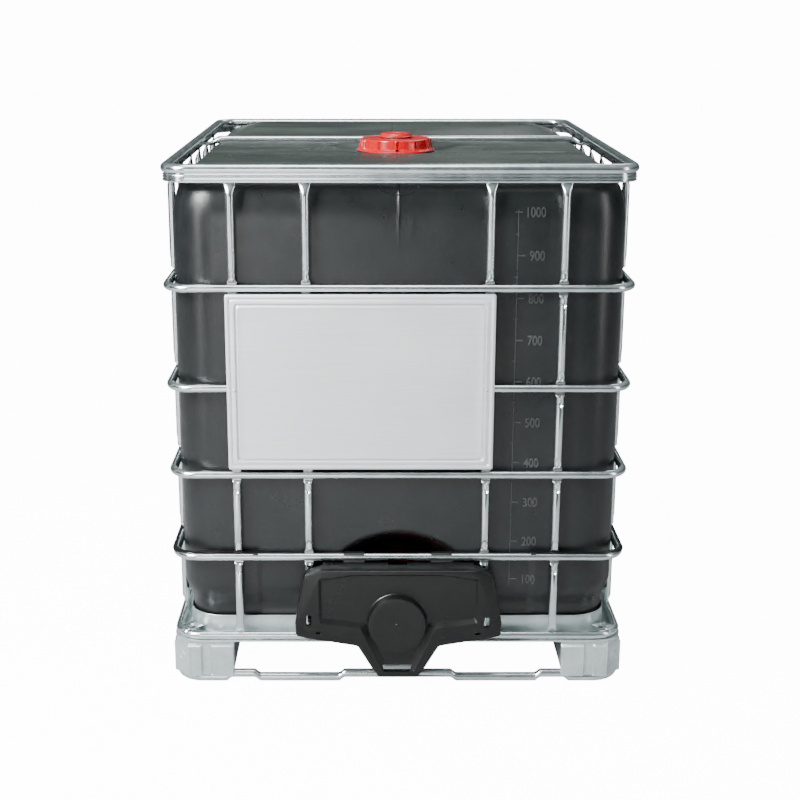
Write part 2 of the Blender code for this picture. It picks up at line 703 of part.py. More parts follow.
def hoop_notches(name, height):
    """Boxes over the inner half of a hoop, one at each upright, as one cutter."""
    face = HOOP_RADIUS - CAGE_OUTSET - NOTCH_OFFSET        # in from the rail's outer face
    depth = HOOP_RADIUS + 0.004
    shape = bmesh.new()

    def add_box(middle, size):
        made = bmesh.ops.create_cube(shape, size=1.0)["verts"]
        bmesh.ops.scale(shape, vec=size, verts=made)
        bmesh.ops.translate(shape, vec=middle, verts=made)
    for side in (-1, 1):
        for x in FRONT_UPRIGHTS:
            add_box((-side * x, side * (HALF_LENGTH - face - depth / 2), height),
                    (2 * NOTCH_HALF, depth, 0.022))
        for y in SIDE_UPRIGHTS:
            add_box((side * (HALF_WIDTH - face - depth / 2), y, height), (depth, 2 * NOTCH_HALF, 0.022))
    return mesh_object(name + "_notches", shape, collection=CUTTERS)


def make_hoops():
    """The round hoops, pressed flat where they cross the uprights, and the base hoop."""
    for name, height in {**HOOP_HEIGHTS, "base_hoop": BASE_HOOP_HEIGHT}.items():
        path = hoop_path(HOOP_RADIUS - CAGE_OUTSET, height)
        hoop = tube(name, path, HOOP_RADIUS, galvanised(), cyclic=True)
        cut(hoop, hoop_notches(name, height))


def upright_mesh():
    """One upright about the local Z axis, its outer side facing -Y and pressed flat at every hoop."""
    round_from = 0.024
    tail_thickness = 0.0035
    # Both faces are measured outward from the upright's axis.
    flat_face = UPRIGHT_INSET + CAGE_OUTSET - HOOP_RADIUS + NOTCH_OFFSET - GAP
    tail_face = UPRIGHT_INSET - BAND_SETBACK - BAND_THICKNESS - GAP
    pressed = [(height - PRESSED_HALF, height + PRESSED_HALF) for height in HOOP_HEIGHTS.values()]
    heights = [UPRIGHT_BOTTOM, BASE_HOOP_HEIGHT + PRESSED_HALF, BASE_HOOP_HEIGHT + round_from]
    for low, high in sorted(pressed):
        heights += [low - round_from + PRESSED_HALF, low, high, high + round_from - PRESSED_HALF]
    heights += [BAND_BOTTOM - 0.023, BAND_BOTTOM - 0.001, UPRIGHT_TOP]
    post = tube("upright_pattern", [(0, 0, height) for height in heights], UPRIGHT_RADIUS, resolution=1)
    for point in post.data.vertices:
        height = point.co.z
        outward = -point.co.y
        at_hoop = any(low - 1e-4 <= height <= high + 1e-4 for low, high in pressed)
        if at_hoop or height <= BASE_HOOP_HEIGHT + PRESSED_HALF + 1e-4:
            point.co.y = -min(outward, flat_face)
            point.co.x *= 1.12
        elif height >= BAND_BOTTOM - 0.0011:
            share = (UPRIGHT_RADIUS - outward) / (2 * UPRIGHT_RADIUS)
            point.co.y = -(tail_face - tail_thickness * share)
            point.co.x *= 1.40
    mesh = post.data
    bpy.data.objects.remove(post)
    return mesh


def make_uprights():
    """Four uprights on the front and on the rear, six on each long side, all from one mesh."""
    mesh = upright_mesh()
    mesh.materials.append(galvanised())
    across = HALF_WIDTH - UPRIGHT_INSET
    along = HALF_LENGTH - UPRIGHT_INSET
    rows = {"front": [((x, -along), 0) for x in FRONT_UPRIGHTS],
            "right": [((across, y), 90) for y in SIDE_UPRIGHTS],
            "rear": [((-x, along), 180) for x in FRONT_UPRIGHTS],
            "left": [((-across, -y), 270) for y in SIDE_UPRIGHTS]}
    for side, places in rows.items():
        for index, ((x, y), turn) in enumerate(places, 1):
            post = link(bpy.data.objects.new(f"upright_{side}_{index}", mesh), PARTS)
            post.location = (x, y, 0)
            post.rotation_euler = (0, 0, math.radians(turn))


def make_cross_bar():
    """Bar over the bottle whose pressed ends turn down to the rail band, with its two bolts."""
    end_x = HALF_WIDTH - BAND_SETBACK - BAND_THICKNESS - GAP
    points = [(-end_x, BAR_Y, BAR_BOLT_Z), (-BAR_BEND, BAR_Y, BAR_BOLT_Z),
              (-BAR_STRAIGHT, BAR_Y, BAR_Z)]
    points += [(-x, y, z) for x, y, z in reversed(points)]
    bar = tube("cross_bar", points, BAR_RADIUS, galvanised())
    for point in bar.data.vertices:
        if abs(point.co.x) > BAR_BEND - 0.008:
            point.co.z = BAR_BOLT_Z + (point.co.z - BAR_BOLT_Z) * 0.6
            point.co.y = BAR_Y + (point.co.y - BAR_Y) * 1.2
    head_out = HALF_WIDTH - 0.0006
    head_in = HALF_WIDTH - BAND_SETBACK + GAP
    shank_end = end_x - 0.0080
    for name, side in (("cross_bar_bolt_left", -1), ("cross_bar_bolt_right", 1)):
        hole = cylinder(name + "_hole", BOLT_HOLE_RADIUS, (side * 0.470, BAR_Y, BAR_BOLT_Z),
                        (side * 0.500, BAR_Y, BAR_BOLT_Z), sides=12, collection=CUTTERS)
        cut(bar, hole)
        profile = ((0, head_out), (0.0045, head_out), (0.0080, head_out - 0.0015), (0.0080, head_in),
                   (0.0038, head_in), (0.0038, shank_end), (0, shank_end))
        bolt = turned(name, profile, galvanised(), steps=12, place=(0, BAR_Y, BAR_BOLT_Z))
        bolt.rotation_euler = (0, side * math.pi / 2, 0)


def make_guard_strip():
    """Plastic strip clipped over the guarded hoop, open across the front where the flap hangs."""
    height = HOOP_HEIGHTS["hoop_guarded"]
    full = hoop_path(HOOP_RADIUS - CAGE_OUTSET, height)
    front = -HALF_LENGTH - CAGE_OUTSET + HOOP_RADIUS
    quarter = len(full) // 4
    path = [(STRIP_END_X, front, height)] + full[3 * quarter:] + full[:3 * quarter]
    path.append((STRIP_START_X, front, height))
    section = arc(STRIP_OUTSIDE, *STRIP_ARC, 4) + arc(STRIP_BORE, *reversed(STRIP_ARC), 4)
    return smooth(swept("guard_strip", path, section, black_plastic(), cyclic=False))


def make_label_plate():
    """Pressed plate for labels with a stepped border and turned-back edges."""
    plate = block("label_plate", LABEL_LOW, LABEL_HIGH, zinc_sheet())
    edge = Vector((LABEL_SHEET, 0, LABEL_SHEET))
    low = LABEL_LOW + edge
    high = LABEL_HIGH - edge
    hollow = box_cutter("label_hollow", (low.x, LABEL_BACK, low.z), (high.x, -0.590, high.z))
    border = Vector((LABEL_BORDER, 0, LABEL_BORDER))
    low = LABEL_LOW + border
    high = LABEL_HIGH - border
    panel = box_cutter("label_panel", (low.x, -0.620, low.z), (high.x, LABEL_PANEL_FRONT, high.z))
    return cut(plate, hollow, panel)


def make_tray():
    """Pallet deck under the base hoop, with a wall that locates the bottle."""
    tray = rounded_block("pallet_tray", PALLET_HALF_WIDTH - 0.001, PALLET_HALF_LENGTH - 0.001, DECK_BOTTOM,
                         DECK_TOP, OUTER_CORNER, surface=zinc_sheet())
    wall = rounded_block("tray_wall", TRAY_HALF_WIDTH, TRAY_HALF_LENGTH, DECK_BOTTOM + 0.0005,
                         TRAY_WALL_TOP, TRAY_CORNER, collection=CUTTERS)
    inside = rounded_block("tray_inside", TRAY_HALF_WIDTH - TRAY_SHEET, TRAY_HALF_LENGTH - TRAY_SHEET,
                           DECK_TOP, TRAY_WALL_TOP + 0.02, TRAY_CORNER - TRAY_SHEET, collection=CUTTERS)
    notch = box_cutter("tray_notch", (-0.075, -0.62, TRAY_NOTCH_BOTTOM), (0.075, -0.52, 0.20))
    return cut(join(tray, wall), inside, notch)


def make_corner_feet():
    """Hollow pressed feet at the pallet's corners; the runner passes through their open bottoms."""
    names = {(1, -1): "front_right", (-1, -1): "front_left", (1, 1): "rear_right", (-1, 1): "rear_left"}
    for (side_x, side_y), name in names.items():
        def corner_block(part, offset, bottom, top, surface, collection):
            outer = Vector((side_x * (PALLET_HALF_WIDTH - offset),
                            side_y * (PALLET_HALF_LENGTH - offset), 0))
            inner = Vector((side_x * (PALLET_HALF_WIDTH - CORNER_FOOT_WIDTH + offset),
                            side_y * (PALLET_HALF_LENGTH - CORNER_FOOT_LENGTH + offset), 0))
            low = Vector((min(outer.x, inner.x), min(outer.y, inner.y), bottom))
            high = Vector((max(outer.x, inner.x), max(outer.y, inner.y), top))
            shape = block_shape(low, high)

            def at_corner(edge):
                middle = (edge.verts[0].co + edge.verts[1].co) / 2
                return is_upright(edge) and (middle.xy - outer.xy).length < 1e-5
            round_edges(shape, at_corner, OUTER_CORNER - offset, 5)
            return mesh_object(part, shape, surface, collection)

        foot = corner_block(f"corner_foot_{name}", 0.0, CORNER_FOOT_BOTTOM, FOOT_TOP, zinc_sheet(), PARTS)
        hollow = corner_block(f"corner_foot_{name}_hollow", FOOT_SHEET, 0.0, FOOT_TOP - FOOT_SHEET, None,
                              CUTTERS)
        cut(foot, hollow)
        slot_top = 2 * RUNNER_RADIUS + RUNNER_LIFT + 0.0015
        near = RUNNER_INSET - RUNNER_RADIUS - 0.001
        far = RUNNER_INSET + RUNNER_RADIUS + 0.002
        inner_x = PALLET_HALF_WIDTH - CORNER_FOOT_WIDTH
        inner_y = PALLET_HALF_LENGTH - CORNER_FOOT_LENGTH
        ends = ((inner_x - 0.005, inner_x + 0.005, HALF_LENGTH - far, HALF_LENGTH - near),
                (HALF_WIDTH - far, HALF_WIDTH - near, inner_y - 0.005, inner_y + 0.005))
        for index, (low_x, high_x, low_y, high_y) in enumerate(ends):
            xs = sorted((side_x * low_x, side_x * high_x))
            ys = sorted((side_y * low_y, side_y * high_y))
            cut(foot, box_cutter(f"corner_foot_{name}_slot_{index}", (xs[0], ys[0], 0.0),
                                 (xs[1], ys[1], slot_top)))


def hollow_foot(name, low, high):
    """A pressed foot between the runner and the deck, open underneath."""
    foot = block(name, low, high, zinc_sheet())
    sheet = Vector((FOOT_SHEET, FOOT_SHEET, FOOT_SHEET))
    low = Vector(low) + sheet
    high = Vector(high) - sheet
    low.z -= 0.02
    return cut(foot, box_cutter(name + "_hollow", low, high))


def make_middle_feet():
    """Feet halfway along each side, and one under the centre that stands on the floor."""
    bottom = MIDDLE_FOOT_BOTTOM
    for name, side in (("front", -1), ("rear", 1)):
        ys = sorted((side * PALLET_HALF_LENGTH, side * (PALLET_HALF_LENGTH - MIDDLE_FOOT_DEPTH)))
        hollow_foot(f"middle_foot_{name}", (-END_FOOT_HALF, ys[0], bottom),
                    (END_FOOT_HALF, ys[1], FOOT_TOP))
    for name, side in (("left", -1), ("right", 1)):
        xs = sorted((side * PALLET_HALF_WIDTH, side * (PALLET_HALF_WIDTH - MIDDLE_FOOT_DEPTH)))
        hollow_foot(f"middle_foot_{name}", (xs[0], -SIDE_FOOT_HALF, bottom),
                    (xs[1], SIDE_FOOT_HALF, FOOT_TOP))
    shape = block_shape((-CENTRE_FOOT_HALF, -CENTRE_FOOT_HALF, 0),
                        (CENTRE_FOOT_HALF, CENTRE_FOOT_HALF, FOOT_TOP))
    for point in shape.verts:
        if point.co.z < 0.01:
            point.co.xy *= 0.8
    mesh_object("centre_foot", shape, zinc_sheet())


def runner_side(half_size):
    """Distances from the middle of one side, with the runner's lift there, from one end to the other."""
    near, far = RUNNER_RAISED_CORNER
    outer = [(half_size - near + RUNNER_JOGGLE, 0), (half_size - near, 1), (half_size - far, 1),
             (half_size - far - RUNNER_JOGGLE, 0), (RUNNER_RAISED_MIDDLE + RUNNER_JOGGLE, 0),
             (RUNNER_RAISED_MIDDLE, 1)]
    mirrored = [(-place, lift) for place, lift in reversed(outer)]
    return [(place, RUNNER_RADIUS + lift * RUNNER_LIFT) for place, lift in outer + mirrored]


def make_runner():
    """Tube around the foot of the pallet, on the floor at the fork pockets and raised beside the feet."""
    corners = hoop_path(RUNNER_INSET, RUNNER_RADIUS)
    quarter = len(corners) // 4
    across = HALF_WIDTH - RUNNER_INSET
    along = HALF_LENGTH - RUNNER_INSET
    path = corners[:quarter]
    path += [(place, along, height) for place, height in runner_side(HALF_WIDTH)]
    path += corners[quarter:2 * quarter]
    path += [(-across, place, height) for place, height in runner_side(HALF_LENGTH)]
    path += corners[2 * quarter:3 * quarter]
    path += [(-place, -along, height) for place, height in runner_side(HALF_WIDTH)]
    path += corners[3 * quarter:]
    path += [(across, -place, height) for place, height in runner_side(HALF_LENGTH)]
    tube("floor_runner", path, RUNNER_RADIUS, galvanised(), cyclic=True)


def main():
    clear_scene()
    make_bottle()
    make_lid()
    make_union()
    make_valve()
    make_dust_cap()
    make_flap()
    make_top_rail()
    make_hoops()
    make_uprights()
    make_cross_bar()
    make_guard_strip()
    make_label_plate()
    make_tray()
    make_corner_feet()
    make_middle_feet()
    make_runner()


main()
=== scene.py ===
"""Looks of the intermediate bulk container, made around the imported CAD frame.

Metres, +Z up, origin on the floor under the pallet's centre, front at -Y.
"""
import functools
import json
import math

import bmesh
import bpy
from mathutils import Matrix, Vector, noise


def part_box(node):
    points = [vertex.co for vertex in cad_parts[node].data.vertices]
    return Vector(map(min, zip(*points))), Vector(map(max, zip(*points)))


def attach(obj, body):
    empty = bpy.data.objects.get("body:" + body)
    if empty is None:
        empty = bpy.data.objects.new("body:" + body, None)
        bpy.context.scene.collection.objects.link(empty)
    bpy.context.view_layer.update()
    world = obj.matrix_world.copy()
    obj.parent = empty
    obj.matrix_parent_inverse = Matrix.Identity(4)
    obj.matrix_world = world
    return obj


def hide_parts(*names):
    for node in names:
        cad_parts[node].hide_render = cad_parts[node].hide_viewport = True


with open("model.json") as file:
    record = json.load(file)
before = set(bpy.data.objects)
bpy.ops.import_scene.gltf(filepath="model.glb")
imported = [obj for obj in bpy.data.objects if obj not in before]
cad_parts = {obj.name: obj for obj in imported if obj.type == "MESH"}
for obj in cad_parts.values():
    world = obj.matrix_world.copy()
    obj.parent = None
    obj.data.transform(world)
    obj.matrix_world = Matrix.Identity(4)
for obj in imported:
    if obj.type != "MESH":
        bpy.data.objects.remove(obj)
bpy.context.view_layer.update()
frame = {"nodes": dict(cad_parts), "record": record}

STEEL, SHEET, BOTTLE = "galvanised_tube", "zinc_sheet", "bottle_plastic"
BLACK, RED, RUBBER, SEAT = "black_plastic", "red_plastic", "rubber", "seat_plastic"


@functools.cache
def corners(node):
    """Lowest and highest corner of a CAD node as vectors."""
    low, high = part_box(node)
    return Vector(low), Vector(high)


@functools.cache
def centre(node):
    low, high = corners(node)
    return (low + high) / 2


def smooth(value):
    """0 below 0, 1 above 1, with a soft start and end."""
    value = min(1.0, max(0.0, value))
    return value * value * (3 - 2 * value)


def bump_at(value, middle, half):
    """1 at the middle, fading to 0 at half away from it."""
    return smooth(1 - abs(value - middle) / half)


# Camera and light ---------------------------------------------------------------------------------

CAMERA_PLACE = (-0.0583, -3.579, 1.4836)
CAMERA_DROP = 15.45            # degrees that the camera looks down
FOCAL_LENGTH = 65.08           # millimetres, on a sensor 36 mm wide
CAMERA_SHIFT = 0.03525
BACKDROP = 14.0                # brightness of the white behind the container
FLOOR_GLOW = 13.6              # brightness added to the floor where the camera sees it


def add_camera():
    """The photograph's viewpoint: a little left of the middle and above the rail, looking down."""
    data = bpy.data.cameras.new("camera")
    data.sensor_width = 36.0
    data.lens = FOCAL_LENGTH
    data.shift_x = CAMERA_SHIFT
    camera = bpy.data.objects.new("camera", data)
    camera.location = CAMERA_PLACE
    camera.rotation_euler = (math.radians(90 - CAMERA_DROP), 0, 0)
    bpy.context.scene.collection.objects.link(camera)
    bpy.context.scene.camera = camera


def add_light(name, place, target, size, power):
    """A soft rectangular light aimed at a point."""
    data = bpy.data.lights.new(name, "AREA")
    data.shape = "RECTANGLE"
    data.size, data.size_y = size
    data.energy = power
    light = bpy.data.objects.new(name, data)
    light.location = place
    light.rotation_euler = (Vector(target) - Vector(place)).to_track_quat("-Z", "Y").to_euler()
    light.visible_camera = False
    bpy.context.scene.collection.objects.link(light)


def add_world():
    """A white backdrop to look at, and a dim studio with a paler ceiling to be lit by."""
    world = bpy.data.worlds.new("studio")
    world.use_nodes = True
    tree = world.node_tree
    place = tree.nodes.new("ShaderNodeTexCoord")
    split = tree.nodes.new("ShaderNodeSeparateXYZ")
    ramp = tree.nodes.new("ShaderNodeValToRGB")
    ramp.color_ramp.elements[0].position = 0.08
    ramp.color_ramp.elements[0].color = (0.075, 0.100, 0.092, 1.0)
    ramp.color_ramp.elements[1].position = 0.70
    ramp.color_ramp.elements[1].color = (0.36, 0.41, 0.42, 1.0)
    tree.links.new(place.outputs["Generated"], split.inputs["Vector"])
    tree.links.new(split.outputs["Z"], ramp.inputs["Fac"])
    studio = tree.nodes["Background"]
    tree.links.new(ramp.outputs["Color"], studio.inputs["Color"])
    backdrop = tree.nodes.new("ShaderNodeBackground")
    backdrop.inputs["Color"].default_value = (1.0, 1.0, 1.0, 1.0)
    backdrop.inputs["Strength"].default_value = BACKDROP
    seen = tree.nodes.new("ShaderNodeLightPath")
    mix = tree.nodes.new("ShaderNodeMixShader")
    tree.links.new(seen.outputs["Is Camera Ray"], mix.inputs[0])
    tree.links.new(studio.outputs[0], mix.inputs[1])
    tree.links.new(backdrop.outputs[0], mix.inputs[2])
    tree.links.new(mix.outputs[0], tree.nodes["World Output"].inputs["Surface"])
    bpy.context.scene.world = world


def add_studio():
    """A key at the upper left, tall softboxes around the front, and weak lights above and behind."""
    add_world()
    add_light("key", (-2.6, -2.7, 3.1), (0, -0.3, 0.9), (1.6, 1.5), 540)
    add_light("low_left", (-2.75, -2.85, 1.30), (0, -0.3, 0.8), (0.55, 2.3), 34)
    add_light("front", (-0.9, -4.6, 0.72), (0, 0, 0.72), (1.3, 1.3), 25)
    add_light("floor_card", (-0.5, -2.3, 0.02), (-0.5, -2.3, 1.0), (1.5, 2.2), 5)
    add_light("right_strip", (3.0, -2.0, 1.5), (0, 0, 0.8), (0.35, 2.6), 30)
    add_light("left_strip", (-3.4, 0.3, 1.8), (0, 0, 0.9), (0.4, 2.6), 3)
    add_light("top", (-0.4, -1.0, 4.2), (0, -0.2, 1.0), (2.0, 1.6), 76)
    add_light("rear", (1.2, 3.4, 4.4), (0, 0, 0.8), (2.0, 1.4), 40)


def add_floor():
    """A wide pale floor, as white to look at as the backdrop but for a soft shadow."""
    half = 30.0
    verts = [(-half, -half, 0.0), (half, -half, 0.0), (half, half, 0.0), (-half, half, 0.0)]
    mesh = bpy.data.meshes.new("floor")
    mesh.from_pydata(verts, [], [(0, 1, 2, 3)])
    floor = bpy.data.objects.new("floor", mesh)
    bpy.context.scene.collection.objects.link(floor)
    paper = Shader("floor_paper", metallic=0.0, roughness=0.9)
    paper.colour(paper.noise(3.0), (0.34, 0.345, 0.35), (0.38, 0.38, 0.385))
    glow = paper.node("ShaderNodeEmission", Strength=FLOOR_GLOW)
    seen = paper.tree.nodes.new("ShaderNodeLightPath")
    mix = paper.tree.nodes.new("ShaderNodeMixShader")
    both = paper.tree.nodes.new("ShaderNodeAddShader")
    paper.tree.links.new(seen.outputs["Is Camera Ray"], mix.inputs[0])
    paper.tree.links.new(glow.outputs[0], mix.inputs[2])
    paper.tree.links.new(paper.surface.outputs[0], both.inputs[0])
    paper.tree.links.new(mix.outputs[0], both.inputs[1])
    paper.tree.links.new(both.outputs[0], paper.tree.nodes["Material Output"].inputs["Surface"])
    mesh.materials.append(paper.material)


# Materials ----------------------------------------------------------------------------------------

class Shader:
    """One Principled material and the few node patterns that the pieces need."""

    def __init__(self, name, metallic, roughness, specular=0.5, coat=0.0):
        self.material = bpy.data.materials.new(name)
        self.material.use_nodes = True
        self.tree = self.material.node_tree
        self.surface = self.tree.nodes["Principled BSDF"]
        self.surface.inputs["Metallic"].default_value = metallic
        self.surface.inputs["Roughness"].default_value = roughness
        self.surface.inputs["Specular IOR Level"].default_value = specular
        self.surface.inputs["Coat Weight"].default_value = coat
        self.normal = None
        self.place = self.tree.nodes.new("ShaderNodeTexCoord").outputs["Object"]

    def node(self, kind, **values):
        made = self.tree.nodes.new(kind)
        for name, value in values.items():
            socket = made.inputs[name.replace("_", " ")]
            if isinstance(value, bpy.types.NodeSocket):
                self.tree.links.new(value, socket)
            else:
                socket.default_value = value
        return made

    def noise(self, scale, detail=3.0, stretch=None, distortion=0.0):
        """Noise between 0 and 1; stretch scales the coordinates along X, Y and Z."""
        place = self.place
        if stretch:
            mapping = self.node("ShaderNodeMapping", Vector=place)
            mapping.inputs["Scale"].default_value = stretch
            place = mapping.outputs["Vector"]
        made = self.node("ShaderNodeTexNoise", Vector=place, Scale=scale, Detail=detail,
                         Distortion=distortion)
        return made.outputs["Fac"]

    def cells(self, scale, randomness=1.0):
        """A random value for each cell, as in zinc spangle."""
        made = self.node("ShaderNodeTexVoronoi", Vector=self.place, Scale=scale, Randomness=randomness)
        split = self.node("ShaderNodeSeparateColor", Color=made.outputs["Color"])
        return split.outputs[0]

    def spread(self, factor, low, high, start=0.3, end=0.7):
        """Map a factor to a range of numbers."""
        made = self.node("ShaderNodeMapRange", Value=factor)
        for name, value in (("From Min", start), ("From Max", end), ("To Min", low), ("To Max", high)):
            made.inputs[name].default_value = value
        return made.outputs["Result"]

    def ramp(self, factor, *stops):
        """Colours blended along a factor; each stop is (position, colour)."""
        made = self.node("ShaderNodeValToRGB", Fac=factor)
        ramp = made.color_ramp
        while len(ramp.elements) < len(stops):
            ramp.elements.new(0.5)
        for element, (position, colour) in zip(ramp.elements, stops):
            element.position = position
            element.color = (*colour, 1.0)
        return made.outputs["Color"]

    def blend(self, factor, first, second):
        """Mix two colours, either of which may be a socket."""
        made = self.tree.nodes.new("ShaderNodeMix")
        made.data_type = "RGBA"
        sockets = [item for item in made.inputs if item.type == "RGBA"]
        for socket, value in zip(sockets, (first, second)):
            if isinstance(value, bpy.types.NodeSocket):
                self.tree.links.new(value, socket)
            else:
                socket.default_value = (*value, 1.0)
        self.tree.links.new(factor, made.inputs["Factor"])
        return [item for item in made.outputs if item.type == "RGBA"][0]

    def attribute(self, name):
        made = self.tree.nodes.new("ShaderNodeAttribute")
        made.attribute_name = name
        return made.outputs["Fac"]

    def colour(self, factor, low, high, start=0.3, end=0.7):
        self.link(self.ramp(factor, (start, low), (end, high)), "Base Color")

    def rough(self, factor, low, high, start=0.3, end=0.7):
        self.link(self.spread(factor, low, high, start, end), "Roughness")

    def link(self, output, name):
        self.tree.links.new(output, self.surface.inputs[name])

    def bump(self, height, distance, strength=1.0):
        """Add a height field, in metres, on top of the bumps already there."""
        made = self.node("ShaderNodeBump", Height=height, Distance=distance, Strength=strength)
        if self.normal:
            self.tree.links.new(self.normal, made.inputs["Normal"])
        self.normal = made.outputs["Normal"]
        self.link(self.normal, "Normal")


def galvanised_tube():
    """Bright galvanised tube: a soft satin zinc skin, slightly mottled, browned at the welds."""
    made = Shader("galvanised_tube_look", metallic=1.0, roughness=0.3)
    broad = made.noise(26.0, 4.0)
    fine = made.noise(420.0, 2.0)
    zinc = made.ramp(broad, (0.30, (0.62, 0.675, 0.68)), (0.50, (0.70, 0.755, 0.76)),
                     (0.72, (0.77, 0.82, 0.825)))
    made.link(made.blend(made.attribute("weld"), zinc, (0.26, 0.21, 0.16)), "Base Color")
    made.rough(broad, 0.17, 0.25)
    made.bump(fine, 0.00008, 0.06)
    return made.material


def zinc_sheet():
    """Pressed galvanised sheet with a fine spangle and cloudy grime."""
    made = Shader("zinc_sheet_look", metallic=0.8, roughness=0.4)
    spangle = made.cells(150.0)
    cloud = made.noise(14.0, 4.0)
    zinc = made.ramp(spangle, (0.0, (0.54, 0.61, 0.61)), (1.0, (0.66, 0.73, 0.735)))
    grime = made.ramp(cloud, (0.35, (0.45, 0.52, 0.515)), (0.62, (0.68, 0.75, 0.76)))
    blend = made.blend(made.spread(cloud, 0.25, 0.75), zinc, grime)
    made.link(blend, "Base Color")
    made.rough(spangle, 0.30, 0.46, 0.0, 1.0)
    made.bump(made.noise(90.0, 3.0), 0.0006, 0.3)
    return made.material


def plate_sheet():
    """The label plate's sheet: pale, even and satin, with a faint rolling grain."""
    made = Shader("label_plate_look", metallic=0.85, roughness=0.5)
    grain = made.noise(60.0, 4.0, stretch=(0.15, 1.0, 6.0))
    made.colour(grain, (0.80, 0.82, 0.835), (0.86, 0.875, 0.885))
    made.rough(made.noise(9.0, 3.0), 0.44, 0.56)
    made.bump(made.noise(700.0, 2.0), 0.00008, 0.3)
    return made.material


def moulded(name, dark, light, low, high, grain=900.0, depth=0.00012, dust=None, specular=0.5):
    """Moulded or blown plastic: a fine grain, uneven gloss and, if asked, a little dust."""
    made = Shader(name, metallic=0.0, roughness=0.4, specular=specular)
    cloud = made.noise(7.0, 4.0)
    base = made.ramp(cloud, (0.3, dark), (0.7, light))
    if dust:
        speck = made.spread(made.noise(260.0, 5.0), 0.0, 0.35, 0.60, 0.74)
        base = made.blend(speck, base, dust)
    made.link(base, "Base Color")
    made.rough(made.noise(18.0, 5.0), low, high)
    made.bump(made.noise(grain, 2.0), depth, 0.45)
    return made


def bottle_plastic():
    """Black blown polyethylene: leathery grain, faint scuffs and slow waves from the blowing."""
    made = moulded("bottle_plastic_look", (0.0036, 0.0048, 0.0052), (0.0075, 0.0092, 0.0096), 0.27, 0.37,
                   grain=620.0, depth=0.0003, dust=(0.030, 0.033, 0.033), specular=0.52)
    made.bump(made.noise(46.0, 4.0), 0.0010, 0.22)
    scuff = made.noise(130.0, 3.0, stretch=(1.0, 1.0, 0.08), distortion=0.4)
    made.bump(made.spread(scuff, 0.0, 1.0, 0.62, 0.74), 0.0002, 0.25)
    # paler greenish film on up-facing faces: dust together with a painted sheen on the lit tops
    add_dust_and_top_sheen(made)
    return made.material


def add_dust_and_top_sheen(made):
    """A paler greenish grey film on faces that look up, in streaks along the container's width: part dust,
    part painted sheen where the tops catch the light.
    """
    normal = made.tree.nodes.new("ShaderNodeTexCoord").outputs["Normal"]
    up = made.node("ShaderNodeSeparateXYZ", Vector=normal).outputs["Z"]
    streaks = made.noise(9.0, 5.0, stretch=(0.35, 1.6, 1.0), distortion=0.6)
    sheen_film = made.node("ShaderNodeMath")
    sheen_film.operation = "MULTIPLY"
    made.tree.links.new(made.spread(up, 0.0, 1.0, 0.72, 0.97), sheen_film.inputs[0])
    made.tree.links.new(made.spread(streaks, 0.10, 0.85, 0.34, 0.66), sheen_film.inputs[1])
    base = made.surface.inputs["Base Color"].links[0].from_socket
    # painted sheen with dust: faces that look up are blended towards a paler greenish grey, in streaks
    made.link(made.blend(sheen_film.outputs[0], base, (0.040, 0.054, 0.044)), "Base Color")


def scale_plastic():
    """The raised scale marks, painted paler than the bottle around them to stand in for the highlights on
    their edges.
    """
    # painted highlight: a base colour several times paler than the bottle's
    return moulded("scale_marks_painted_highlight_look", (0.026, 0.030, 0.030), (0.056, 0.060, 0.059), 0.24, 0.36,
                   grain=620.0, depth=0.0002).material


def black_plastic():
    return moulded("black_plastic_look", (0.0020, 0.0024, 0.0024), (0.0042, 0.0048, 0.0048), 0.26, 0.38,
                   dust=(0.016, 0.016, 0.016), specular=0.36).material


def red_plastic():
    return moulded("red_plastic_look", (0.40, 0.0006, 0.0040), (0.48, 0.0012, 0.0060), 0.20, 0.34,
                   grain=500.0, depth=0.0001).material


def rubber():
    return moulded("rubber_look", (0.018, 0.018, 0.018), (0.030, 0.030, 0.030), 0.65, 0.80,
                   grain=1400.0).material


def seat_plastic():
    return moulded("seat_plastic_look", (0.80, 0.80, 0.77), (0.87, 0.87, 0.85), 0.26, 0.40).material


LOOKS = {}


def make_materials():
    LOOKS.update({STEEL: galvanised_tube(), SHEET: zinc_sheet(), BOTTLE: bottle_plastic(),
                  BLACK: black_plastic(), RED: red_plastic(), RUBBER: rubber(), SEAT: seat_plastic(),
                  "label_plate": plate_sheet(), "scale_marks": scale_plastic()})


# Mesh helpers -------------------------------------------------------------------------------------

MERGE_DISTANCE = 1e-6
SHEET_THICKNESS = 0.0016
CORNER_STEPS = 5               # of each rounded corner of a polygon


def loft(rings, closed=False):
    """Join rings of equal length. A closed loft meets itself; an open one is capped at both ends."""
    count = len(rings[0])
    verts = [tuple(point) for ring in rings for point in ring]
    faces = []
    for index in range(len(rings) if closed else len(rings) - 1):
        first = index * count
        second = (index + 1) % len(rings) * count
        for step in range(count):
            after = (step + 1) % count
            faces.append((first + step, first + after, second + after, second + step))
    if not closed:
        faces.append(tuple(reversed(range(count))))
        last = (len(rings) - 1) * count
        faces.append(tuple(range(last, last + count)))
    return verts, faces


def combine(parts):
    """Several (verts, faces) lists as one."""
    verts, faces = [], []
    for more_verts, more_faces in parts:
        offset = len(verts)
        verts += more_verts
        faces += [tuple(index + offset for index in face) for face in more_faces]
    return verts, faces


def raw_object(name, shape):
    """An object from (verts, faces), with doubles merged and faces turned outward."""
    mesh = bpy.data.meshes.new(name)
    mesh.from_pydata(shape[0], [], shape[1])
    work = bmesh.new()
    work.from_mesh(mesh)
    bmesh.ops.remove_doubles(work, verts=work.verts, dist=MERGE_DISTANCE)
    bmesh.ops.recalc_face_normals(work, faces=work.faces)
    work.to_mesh(mesh)
    work.free()
    made = bpy.data.objects.new(name, mesh)
    bpy.context.scene.collection.objects.link(made)
    return made


